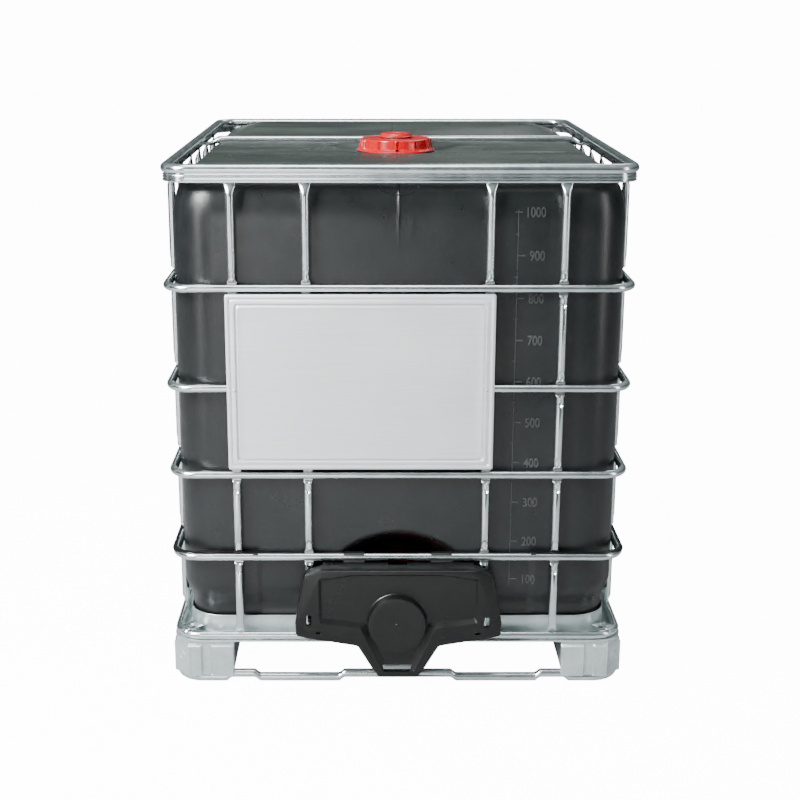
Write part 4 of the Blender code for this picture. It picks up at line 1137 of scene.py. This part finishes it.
def make_handle():
    """Lever with a rounded rim, a ribbed grip and a domed screw on the stem."""
    low, high = corners("valve_handle")
    axis = centre("valve_stem")
    reach = high.x - 0.010
    outline = [Vector(point) for point in arc(HUB - 0.0002, 98, 262, 24)]
    outline += [Vector((reach + x, y)) for x, y in arc(GRIP_HALF, -85, 85, 16)]
    rings = []
    for down, back in ((0.0090, 0.0012), (0.0080, 0.0), (0.0014, 0.0), (0.0004, 0.0006), (0.0, 0.0018)):
        rings.append([(x, axis.y + y, high.z - down) for x, y in inset(outline, back)])
    hub = [(STEM_HOLE, low.z), (HUB - 0.0006, low.z), (HUB, low.z + 0.0010), (HUB, high.z - 0.0085),
           (STEM_HOLE, high.z - 0.0085)]
    screw = around(high.z, (0.0004, 0.0016), (0.0040, 0.0013), (0.0064, 0.0004), (0.0070, -0.0006),
                   (0.0004, -0.0006))
    parts = [loft(rings), lathe(hub, 48, (0, axis.y, 0), closed=True)]
    for index in range(6):
        x = 0.040 + index * 0.0065
        rings = []
        for share in (-1.0, -0.5, 0.0, 0.5, 1.0):
            width = 0.0080 * share
            rings.append([(x - 0.0011, axis.y + width, high.z - 0.0006),
                          (x - 0.0006, axis.y + width, high.z + 0.0007),
                          (x + 0.0006, axis.y + width, high.z + 0.0007),
                          (x + 0.0011, axis.y + width, high.z - 0.0006)])
        parts.append(loft(rings))
    piece("valve_lever_arm", combine(parts), RED, "valve_lever", "valve_handle", angle=30)
    piece("valve_lever_screw", lathe(screw, 32, (0, axis.y, 0)), STEEL, "valve_lever")


# Flap ---------------------------------------------------------------------------------------------

FLAP_LOW = corners("flap")[0]
PANEL_FRONT = -0.650
PANEL_BACK = -0.612
FIELD_FLOOR = -0.6435
FLAP_OUTLINE = ((0.168, 0.2885, 0.010), (0.2075, 0.2735, 0.010), (0.2268, 0.166, 0.012),
                (0.2255, 0.1345, 0.007), (0.205, 0.1290, 0.014), (0.090, 0.1095, 0.012),
                (0.0600, 0.0590, 0.016), (0.0430, 0.0345, 0.008))
FIELD_OUTLINE = ((0.098, 0.2780, 0.020), (0.1735, 0.2665, 0.004), (0.1735, 0.1665, 0.004),
                 (0.0830, 0.1550, 0.003), (0.0340, 0.0515, 0.003))
FIELD_FOOT = ((0.098, 0.2755, 0.020), (0.1700, 0.2645, 0.004), (0.1690, 0.1735, 0.004),
              (0.0670, 0.1620, 0.003), (0.0270, 0.0600, 0.003))
FINGER_SLOT = ((0.0310, 0.0650), (0.0265, 0.0490), (-0.0310, 0.0490), (-0.0360, 0.0650))


def mirrored(half):
    """The full outline from its right half, mirrored about X = 0."""
    return list(half) + [(-x, z, radius) for x, z, radius in reversed(half)]


def flap_body():
    """The flap's panel: a rounded rim around a hollow back."""
    outline = rounded_polygon(mirrored(FLAP_OUTLINE))
    rings = [upright_outline(inset(outline, back), y) for y, back in
             ((PANEL_BACK, 0.0), (PANEL_FRONT + 0.0045, 0.0), (PANEL_FRONT + 0.0022, 0.0006),
              (PANEL_FRONT + 0.0008, 0.0018), (PANEL_FRONT, 0.0040))]
    body = raw_object("flap_panel", loft(rings))
    wall = 0.0030
    hollow = [upright_outline(inset(outline, back), y) for y, back in
              ((PANEL_BACK + 0.01, wall), (-0.6395, wall))]
    apply_boolean(body, raw_object("hollow", loft(hollow)), "DIFFERENCE")
    return body


def flap_field():
    """The cutter for the sunk field, from in front of the panel to its floor."""
    edge = rounded_polygon(mirrored(FIELD_OUTLINE))
    foot = rounded_polygon(mirrored(FIELD_FOOT))
    rings = [upright_outline(inset(edge, -0.0012), PANEL_FRONT - 0.010),
             upright_outline(inset(edge, -0.0012), PANEL_FRONT),
             upright_outline(edge, PANEL_FRONT + 0.0009),
             upright_outline(foot, FIELD_FLOOR - 0.0007),
             upright_outline(inset(foot, 0.0010), FIELD_FLOOR)]
    return raw_object("field", loft(rings))


def flap_boss():
    """The round boss over the valve, with a small gate mark in its face."""
    radius = 0.0630
    front = -FLAP_LOW.y
    profile = [(0.0006, front - 0.0012), (0.0022, front - 0.0012), (0.0026, front - 0.0002),
               (0.0036, front + 0.0000), (0.0044, front - 0.0009), (0.0540, front - 0.0006),
               (radius - 0.0018, front - 0.0006), (radius - 0.0005, front - 0.0011),
               (radius, front - 0.0024), (radius + 0.0030, -FIELD_FLOOR + 0.0016),
               (radius + 0.0046, -FIELD_FLOOR + 0.0003), (radius + 0.0050, -FIELD_FLOOR - 0.0022),
               (0.0006, -FIELD_FLOOR - 0.0022)]
    return raw_object("boss", lathe(profile, 144, (-0.003, 0, VALVE.z), axis="Y"))


def cut_slot(body, outline, back):
    """Cut an opening from in front of the flap's panel to a given depth."""
    rings = [upright_outline(outline, y) for y in (PANEL_FRONT - 0.01, back)]
    apply_boolean(body, raw_object("slot", loft(rings)), "DIFFERENCE")


def flap_ribs():
    """Fine slanted grip ribs at both ends of the panel."""
    parts = []
    for side in (-1, 1):
        for index in range(7):
            z = 0.1450 + index * 0.0060
            rings = []
            for share in (0.0, 0.15, 0.85, 1.0):
                x = side * (0.2060 + 0.0165 * share)
                height = 0.0009 if 0 < share < 1 else -0.0004
                level = z + 0.0030 * share
                rings.append([(x, PANEL_FRONT + 0.0004, level - 0.0008),
                              (x, PANEL_FRONT - height, level - 0.0003),
                              (x, PANEL_FRONT - height, level + 0.0003),
                              (x, PANEL_FRONT + 0.0004, level + 0.0008)])
            parts.append(loft(rings))
    return combine(parts)


def hoop_clip(middle, hoop):
    """One clip: a C around the hoop, open to the front, its arm, and four small teeth below."""
    half, bore, outside = 0.0230, 0.0094, 0.0123
    ring = arc(outside, -140, 140, 28) + arc(bore, 140, -140, 28)
    ring = [(hoop.y + out, hoop.z + up) for out, up in ring]
    parts = [loft([[(middle + side * half, y, z) for y, z in ring] for side in (-1, 1)])]
    arm = [(hoop.y - 0.002, hoop.z - 0.0150), (hoop.y - 0.002, hoop.z - 0.0118),
           (PANEL_BACK + 0.002, hoop.z - 0.0105), (PANEL_FRONT + 0.004, FLAP_OUTLINE[0][1] + 0.0005),
           (PANEL_FRONT + 0.004, FLAP_OUTLINE[0][1] - 0.0030), (PANEL_BACK + 0.002, hoop.z - 0.0140)]
    parts.append(loft([[(middle + side * half, y, z) for y, z in arm] for side in (-1, 1)]))
    for index in range(4):
        x = middle + (index - 1.5) * 0.0115
        tooth = [(hoop.y - 0.0105, hoop.z - 0.0100), (hoop.y - 0.0165, hoop.z - 0.0150),
                 (hoop.y - 0.0150, hoop.z - 0.0165), (hoop.y - 0.0060, hoop.z - 0.0140)]
        parts.append(loft([[(x + side * (0.0030 if y < hoop.y - 0.012 else 0.0046), y, z)
                            for y, z in tooth] for side in (-1, 1)]))
    return combine(parts)


def make_flap():
    """The valve flap with its sunk field, boss, slots, ribs, shoulder and two hoop clips."""
    hoop = Vector((0, -CAGE.y + TUBE, centre("hoop_guarded").z))
    body = flap_body()
    apply_boolean(body, flap_field(), "DIFFERENCE")
    apply_boolean(body, flap_boss(), "UNION")
    for x, z, half_x, half_z in ((-0.1965, 0.171, 0.0052, 0.0125), (0.1940, 0.167, 0.0060, 0.0115),
                                 (-0.1765, 0.142, 0.0062, 0.0026), (0.1750, 0.140, 0.0062, 0.0026)):
        slot = rectangle((x - half_x, z - half_z), (x + half_x, z + half_z), 0.0, 0.0022)
        cut_slot(body, slot, PANEL_FRONT + 0.020)
    cut_slot(body, rounded_polygon(FINGER_SLOT, 0.003), PANEL_BACK + 0.010)
    finish_piece(body, BLACK, "valve_flap", "flap", angle=28)
    piece("flap_ribs", flap_ribs(), BLACK, "valve_flap", angle=30)
    for name, middle in (("left", -0.0975), ("right", 0.0950)):
        piece(f"flap_clip_{name}", hoop_clip(middle, hoop), BLACK, "valve_flap", angle=30)
    make_flap_shoulder(hoop)


def make_flap_shoulder(hoop):
    """The ledge that runs back from the panel's top edge, with a low window in its middle."""
    top = FLAP_OUTLINE[0][1]
    spans = ((-0.1660, -0.022), (0.020, 0.1660))
    parts = []
    for start, end in spans:
        profile = [(PANEL_FRONT + 0.0035, top - 0.0005), (PANEL_BACK + 0.004, hoop.z - 0.0100),
                   (PANEL_BACK + 0.012, hoop.z - 0.0112), (PANEL_BACK + 0.012, hoop.z - 0.0134),
                   (PANEL_BACK + 0.004, hoop.z - 0.0124), (PANEL_FRONT + 0.0035, top - 0.0030)]
        parts.append(loft([[(x, y, z) for y, z in profile] for x in (start, end)]))
    bridge = [(PANEL_FRONT + 0.0035, top - 0.0005), (PANEL_BACK - 0.006, hoop.z - 0.0116),
              (PANEL_BACK - 0.006, hoop.z - 0.0138), (PANEL_FRONT + 0.0035, top - 0.0030)]
    parts.append(loft([[(x, y, z) for y, z in bridge] for x in (-0.0225, 0.0205)]))
    piece("flap_shoulder", combine(parts), BLACK, "valve_flap", angle=30)


def make_guard_strip():
    """Plastic strip on the guarded hoop: behind its top along the front, over its outside beyond."""
    inner, outer = 0.0094, 0.0113
    level = centre("hoop_guarded").z
    start_x, end_x = -0.321, 0.304
    full = hoop_path()
    quarter = len(full) // 4
    front = Vector((0, -1))
    path = [(Vector((end_x, -CAGE.y + TUBE)), front)] + full[3 * quarter:] + full[:3 * quarter]
    path.append((Vector((start_x, -CAGE.y + TUBE)), front))
    rings = []
    for place, outward in path:
        turn = 36 * smooth((-outward.y - 0.45) / 0.50)
        section = arc(outer, 24 + turn, 84 + turn, 9) + arc(inner, 82 + turn, 26 + turn, 9)
        rings.append([(place.x + outward.x * out, place.y + outward.y * out, level + up)
                      for out, up in section])
    parts = [loft(rings)]
    for x in (start_x + 0.006, end_x - 0.006):
        clip = arc(0.0128, 52, 132, 8) + arc(inner, 132, 52, 8)
        parts.append(loft([[(x + side * 0.006, -CAGE.y + TUBE - out, level + up) for out, up in clip]
                           for side in (-1, 1)]))
    piece("guard_strip_skin", combine(parts), BLACK, "container", "guard_strip", angle=50)


# Label plate --------------------------------------------------------------------------------------

def plate_ring(back, radius, y):
    """A rounded rectangle in the plane of the plate, set in by back."""
    low, high = corners("label_plate")
    return upright_outline(rectangle(low.xz, high.xz, back, radius), y)


def make_label_plate():
    """Pressed plate: turned-back edge, bright border, a narrow groove and the flat panel inside it."""
    low, high = corners("label_plate")
    front = low.y
    # Each step from the edge inwards: depth behind the front, distance from the edge, corner radius.
    steps = ((high.y - front, 0.0, 0.004), (0.0040, 0.0, 0.004), (0.0016, 0.0008, 0.004),
             (0.0004, 0.0024, 0.004), (0.0, 0.0042, 0.005), (0.0, 0.0066, 0.005), (0.0006, 0.0082, 0.006),
             (0.0022, 0.0092, 0.006), (0.0024, 0.0102, 0.006), (0.0010, 0.0114, 0.006),
             (0.0004, 0.0126, 0.006), (0.0004, 0.0186, 0.008), (0.0012, 0.0194, 0.008),
             (0.0052, 0.0202, 0.008), (0.0058, 0.0212, 0.008), (0.0052, 0.0222, 0.008),
             (0.0016, 0.0246, 0.008), (0.0008, 0.0262, 0.008), (0.0012, 0.0290, 0.008),
             (0.0014, 0.0400, 0.008))
    made = raw_object("label_plate_sheet",
                      loft([plate_ring(back, radius, front + y) for y, back, radius in steps]))
    hollow = raw_object("hollow", loft([plate_ring(0.0012, 0.003, y)
                                        for y in (front + 0.0072, high.y + 0.010)]))
    apply_boolean(made, hollow, "DIFFERENCE")
    finish_piece(made, "label_plate", "container", "label_plate", slot=SHEET, angle=25)
    dome = [(0.0003, 0.0016), (0.0016, 0.0014), (0.0028, 0.0007), (0.0033, 0.0), (0.0003, -0.0004)]
    hoop = centre("hoop_upper").z
    rivets = [lathe([(radius, height - front) for radius, height in dome], 24, (x, 0, hoop), axis="Y")
              for x in (low.x + 0.0165, high.x - 0.0165)]
    piece("label_rivets", combine(rivets), STEEL, "container")


# Pallet -------------------------------------------------------------------------------------------

TRAY_HALF_X, TRAY_HALF_Y, TRAY_CORNER = 0.4712, 0.5712, 0.078
TRAY_RIM = 0.1500
NOTCH_LEVEL = 0.1135           # the tray's rim in front of the valve
RIPPLE_PITCH = 0.0155
RUNNER = 0.0098                # radius of the runner's tube
INNER_WALL_LOW = 0.0315        # the feet's inner walls clear the runner


def make_tray():
    """Deck with a rolled edge, and the wall that holds the bottle, which is low in front of the valve
    and drawn into fine ripples along its foot."""
    low, high = corners("pallet_tray")
    deck = around(low.z, (0.0, 0.0), (0.0008, 0.0003), (0.0008, 0.0024), (0.0, 0.0027),
                  (-0.0550, 0.0027), (-0.0550, 0.0))
    path = rounded_path(high.x - 0.0008, high.y - 0.0008, CORNER)
    edge = loft(sweep(path, deck, 0.0), closed=True)
    inner = rounded_path(high.x - 0.050, high.y - 0.050, 0.030, 4)
    floor = loft([[(place.x, place.y, level) for place, outward in inner]
                  for level in (low.z + 0.0004, low.z + 0.0022)])
    wall_path = divide(rounded_path(TRAY_HALF_X, TRAY_HALF_Y, TRAY_CORNER, 14), 0.0065)
    rings = []
    length = 0.0
    last = wall_path[0][0]
    for place, outward in wall_path:
        length += (place - last).length
        last = place
        notch = smooth((0.082 - abs(place.x)) / 0.006) if place.y < -0.5 else 0.0
        top = TRAY_RIM + (NOTCH_LEVEL - TRAY_RIM) * notch
        ripple = 0.0008 * math.sin(2 * math.pi * length / RIPPLE_PITCH)
        ring = []
        for share, lean in ((0.0, 0.0), (0.12, 1.0), (0.32, 1.0), (0.52, 0.4), (0.72, 0.0), (0.96, 0.0)):
            ring.append((ripple * lean, low.z + 0.0015 + (top - low.z - 0.0015) * share))
        ring += [(0.0006, top - 0.0006), (0.0002, top), (-0.0014, top), (-0.0016, top - 0.0010)]
        for share, lean in ((0.72, 0.0), (0.52, 0.4), (0.32, 1.0), (0.12, 1.0), (0.0, 0.0)):
            ring.append((ripple * lean - 0.0014, low.z + 0.0015 + (top - low.z - 0.0015) * share))
        rings.append([(place.x + outward.x * out, place.y + outward.y * out, up) for out, up in ring])
    wall = loft(rings, closed=True)
    piece("pallet_tray_sheet", combine([edge, floor, wall]), SHEET, "container", "pallet_tray", angle=40)
    make_corner_clamps()


def make_corner_clamps():
    """A bent plate from the tray's corner over the base hoop, with a hexagon bolt through it."""
    top = corners("base_hoop")[1].z
    parts = []
    for side_x in (-1, 1):
        for side_y in (-1, 1):
            middle = Vector((side_x * (TRAY_HALF_X - TRAY_CORNER), side_y * (TRAY_HALF_Y - TRAY_CORNER)))
            out = Vector((side_x, side_y)).normalized()
            across = Vector((-out.y, out.x))
            rings = []
            for reach, half, level in ((0.0795, 0.0150, -0.0065), (0.0805, 0.0165, -0.0010),
                                       (0.0850, 0.0180, 0.0006), (0.1020, 0.0180, 0.0008),
                                       (0.1180, 0.0160, 0.0012), (0.1245, 0.0140, -0.0002),
                                       (0.1285, 0.0120, -0.0040)):
                ring = []
                for share, rise in ((-1.0, 0.0004), (-0.86, 0.0018), (0.86, 0.0018), (1.0, 0.0004),
                                    (0.86, 0.0), (-0.86, 0.0)):
                    spot = middle + out * reach + across * half * share
                    ring.append((spot.x, spot.y, top + level + rise))
                rings.append(ring)
            parts.append(loft(rings))
            place = middle + out * 0.0990
            hexagon = [(0.0003, top + 0.0078), (0.0056, top + 0.0076), (0.0072, top + 0.0064),
                       (0.0074, top + 0.0024), (0.0003, top + 0.0024)]
            parts.append(lathe(hexagon, 6, (place.x, place.y, 0)))
    piece("corner_clamps", combine(parts), STEEL, "container", angle=30)


FEET = corners("corner_foot_rear_right")[1]
FOOT_INSET = 0.0060            # depth of the recess between a foot's pads
FOOT_WIDTH, FOOT_LENGTH = 0.138, 0.150
FAR_WALL = 0.100               # past this distance from the corner a point is on a foot's inner walls


def foot_plan(width, length):
    """A corner foot's outline as (x, y, depth, inner) in from the corner of the pallet.

    x and y are distances from the two outer faces, depth is how far the wall is sunk there, and inner
    marks the two walls inside the pallet, whose lower edges clear the runner.
    """
    def run(end, flip):
        stops = [(end, FOOT_INSET + 0.002, True), (end, 0.0035, False), (end - 0.0035, 0.0, False)]
        stops += [(end - 0.050, 0.0, False), (end - 0.0535, FOOT_INSET, False)]
        stops += [(end - 0.0715, FOOT_INSET, False), (end - 0.0750, 0.0, False)]
        stops += [(end - 0.0980, 0.0, False), (end - 0.0990, 0.0022, False)]
        stops += [(0.0400, 0.0022, False), (0.0392, 0.0004, False), (0.0370, 0.0, False)]
        stops += [(0.0345, 0.0004, False), (0.0335, 0.0030, False)]
        points = [(along, depth, inner) for along, depth, inner in stops]
        if flip:
            points = [(depth, along, inner) for along, depth, inner in points]
        return points
    front = run(width, False)
    side = run(length, True)
    far = [(width, length, True)]
    return far + front + side[::-1]


def corner_foot(side_x, side_y, bottom, top):
    """The walls and top of one pressed corner foot."""
    plan = foot_plan(FOOT_WIDTH, FOOT_LENGTH)
    rings = []
    for index, (level, drawn) in enumerate(((bottom, 0.0018), (bottom + 0.0015, 0.0005),
                                            (bottom + 0.0050, 0.0), (top - 0.0115, 0.0))):
        ring = []
        for x, y, inner in plan:
            x += drawn if x < FAR_WALL else -drawn
            y += drawn if y < FAR_WALL else -drawn
            height = INNER_WALL_LOW + 0.0002 * index if inner and index < 3 else level
            ring.append((side_x * (FEET.x - x), side_y * (FEET.y - y), height))
        rings.append(ring)
    for level, back in ((top - 0.0060, 0.0006), (top - 0.0010, 0.0006), (top, 0.0016)):
        goal = FOOT_INSET + back
        rings.append([(side_x * (FEET.x - max(x, goal)), side_y * (FEET.y - max(y, goal)), level)
                      for x, y, inner in plan])
    verts, faces = loft(rings)
    faces.pop(-2)
    return verts, faces


def facet_ring(side_x, side_y):
    """The round mark pressed into a corner foot's slanted corner."""
    profile = [(0.0070, 0.0), (0.0086, 0.0008), (0.0098, 0.0010), (0.0110, 0.0008), (0.0124, 0.0)]
    profile += [(0.0124, -0.0008), (0.0070, -0.0008)]
    verts, faces = lathe(profile, 40, (0, 0, 0), closed=True)
    out = Vector((side_x, side_y, 0)).normalized()
    across = Vector((-out.y, out.x, 0))
    middle = Vector((side_x * (FEET.x - 0.0178), side_y * (FEET.y - 0.0178), 0.060))
    placed = [middle + across * x + Vector((0, 0, y)) + out * z for x, y, z in verts]
    return [tuple(point) for point in placed], faces


def make_feet():
    low, high = corners("corner_foot_front_left")
    for node in (name for name in frame["nodes"] if name.startswith("corner_foot_")):
        place = centre(node)
        side_x, side_y = math.copysign(1, place.x), math.copysign(1, place.y)
        made = raw_object(node + "_pressing", corner_foot(side_x, side_y, low.z, high.z))
        thicken(made)
        finish_piece(made, SHEET, "container", node, angle=30)
        piece(node + "_mark", facet_ring(side_x, side_y), SHEET, "container")
    for node in (name for name in frame["nodes"] if name.startswith("middle_foot_")):
        make_middle_foot(node)
    make_centre_foot()


def make_middle_foot(node):
    """A tapered pressing, open underneath, with a sunk panel in its outer face."""
    low, high = corners(node)
    rings = []
    for level, back in ((low.z, 0.0014), (low.z + 0.0020, 0.0004), (high.z - 0.010, 0.0020),
                        (high.z - 0.0025, 0.0060), (high.z - 0.0008, 0.0080), (high.z - 0.0001, 0.0100)):
        rings.append([(x, y, level) for x, y in rectangle(low, high, back, 0.007)])
    verts, faces = loft(rings)
    faces.pop(-2)
    made = raw_object(node + "_pressing", (verts, faces))
    thicken(made)
    finish_piece(made, SHEET, "container", node, angle=35)


def make_centre_foot():
    """The foot under the pallet's centre, tapered and closed underneath."""
    top = corners("centre_foot")[1].z
    rings = []
    for level, half in ((0.0, 0.0455), (0.0015, 0.0478), (0.006, 0.0490), (0.090, 0.0575),
                        (0.0965, 0.0590), (top, 0.0598)):
        rings.append([(x, y, level) for x, y in rectangle((-half, -half), (half, half), 0.0, 0.009)])
    piece("centre_foot_pressing", loft(rings), SHEET, "container", "centre_foot", angle=35)


def runner_level(place):
    """Height of the runner's axis: up beside the corner feet and at the middle of each side."""
    lift, joggle = 0.009, 0.013
    on_side = abs(place.x) > OUTER.x - 0.025
    half = OUTER.y if on_side else OUTER.x
    along = abs(place.y if on_side else place.x)
    middle = smooth((0.119 + joggle - along) / joggle)
    near = smooth((half - 0.1135 - along) / joggle) * smooth((along - (half - 0.184 - joggle / 2)) / joggle)
    return RUNNER + lift * max(middle, near)


def make_runner():
    back = 0.008
    path = divide(rounded_path(OUTER.x - back, OUTER.y - back, CORNER - back), 0.0045)
    rings = sweep(path, circle(RUNNER, 18), runner_level)
    piece("floor_runner_tube", loft(rings, closed=True), STEEL, "container", "floor_runner", angle=60)


# Inner pieces that keep their CAD shape -----------------------------------------------------------

def dress_frame():
    """Procedural materials for the CAD nodes that show as they are."""
    slots = {item["node"]: item["material_slot"] for item in frame["record"]["subparts"]}
    for node, thing in frame["nodes"].items():
        look = LOOKS[slots[node]]
        if not thing.material_slots:
            thing.data.materials.append(look)
        for spot in thing.material_slots:
            spot.material = look


def main():
    add_camera()
    add_studio()
    add_floor()
    make_materials()
    dress_frame()
    make_bottle()
    make_lid()
    make_valve()
    make_flap()
    make_hoops()
    make_top_rail()
    make_uprights()
    make_cross_bar()
    make_guard_strip()
    make_label_plate()
    make_tray()
    make_feet()
    make_runner()


main()
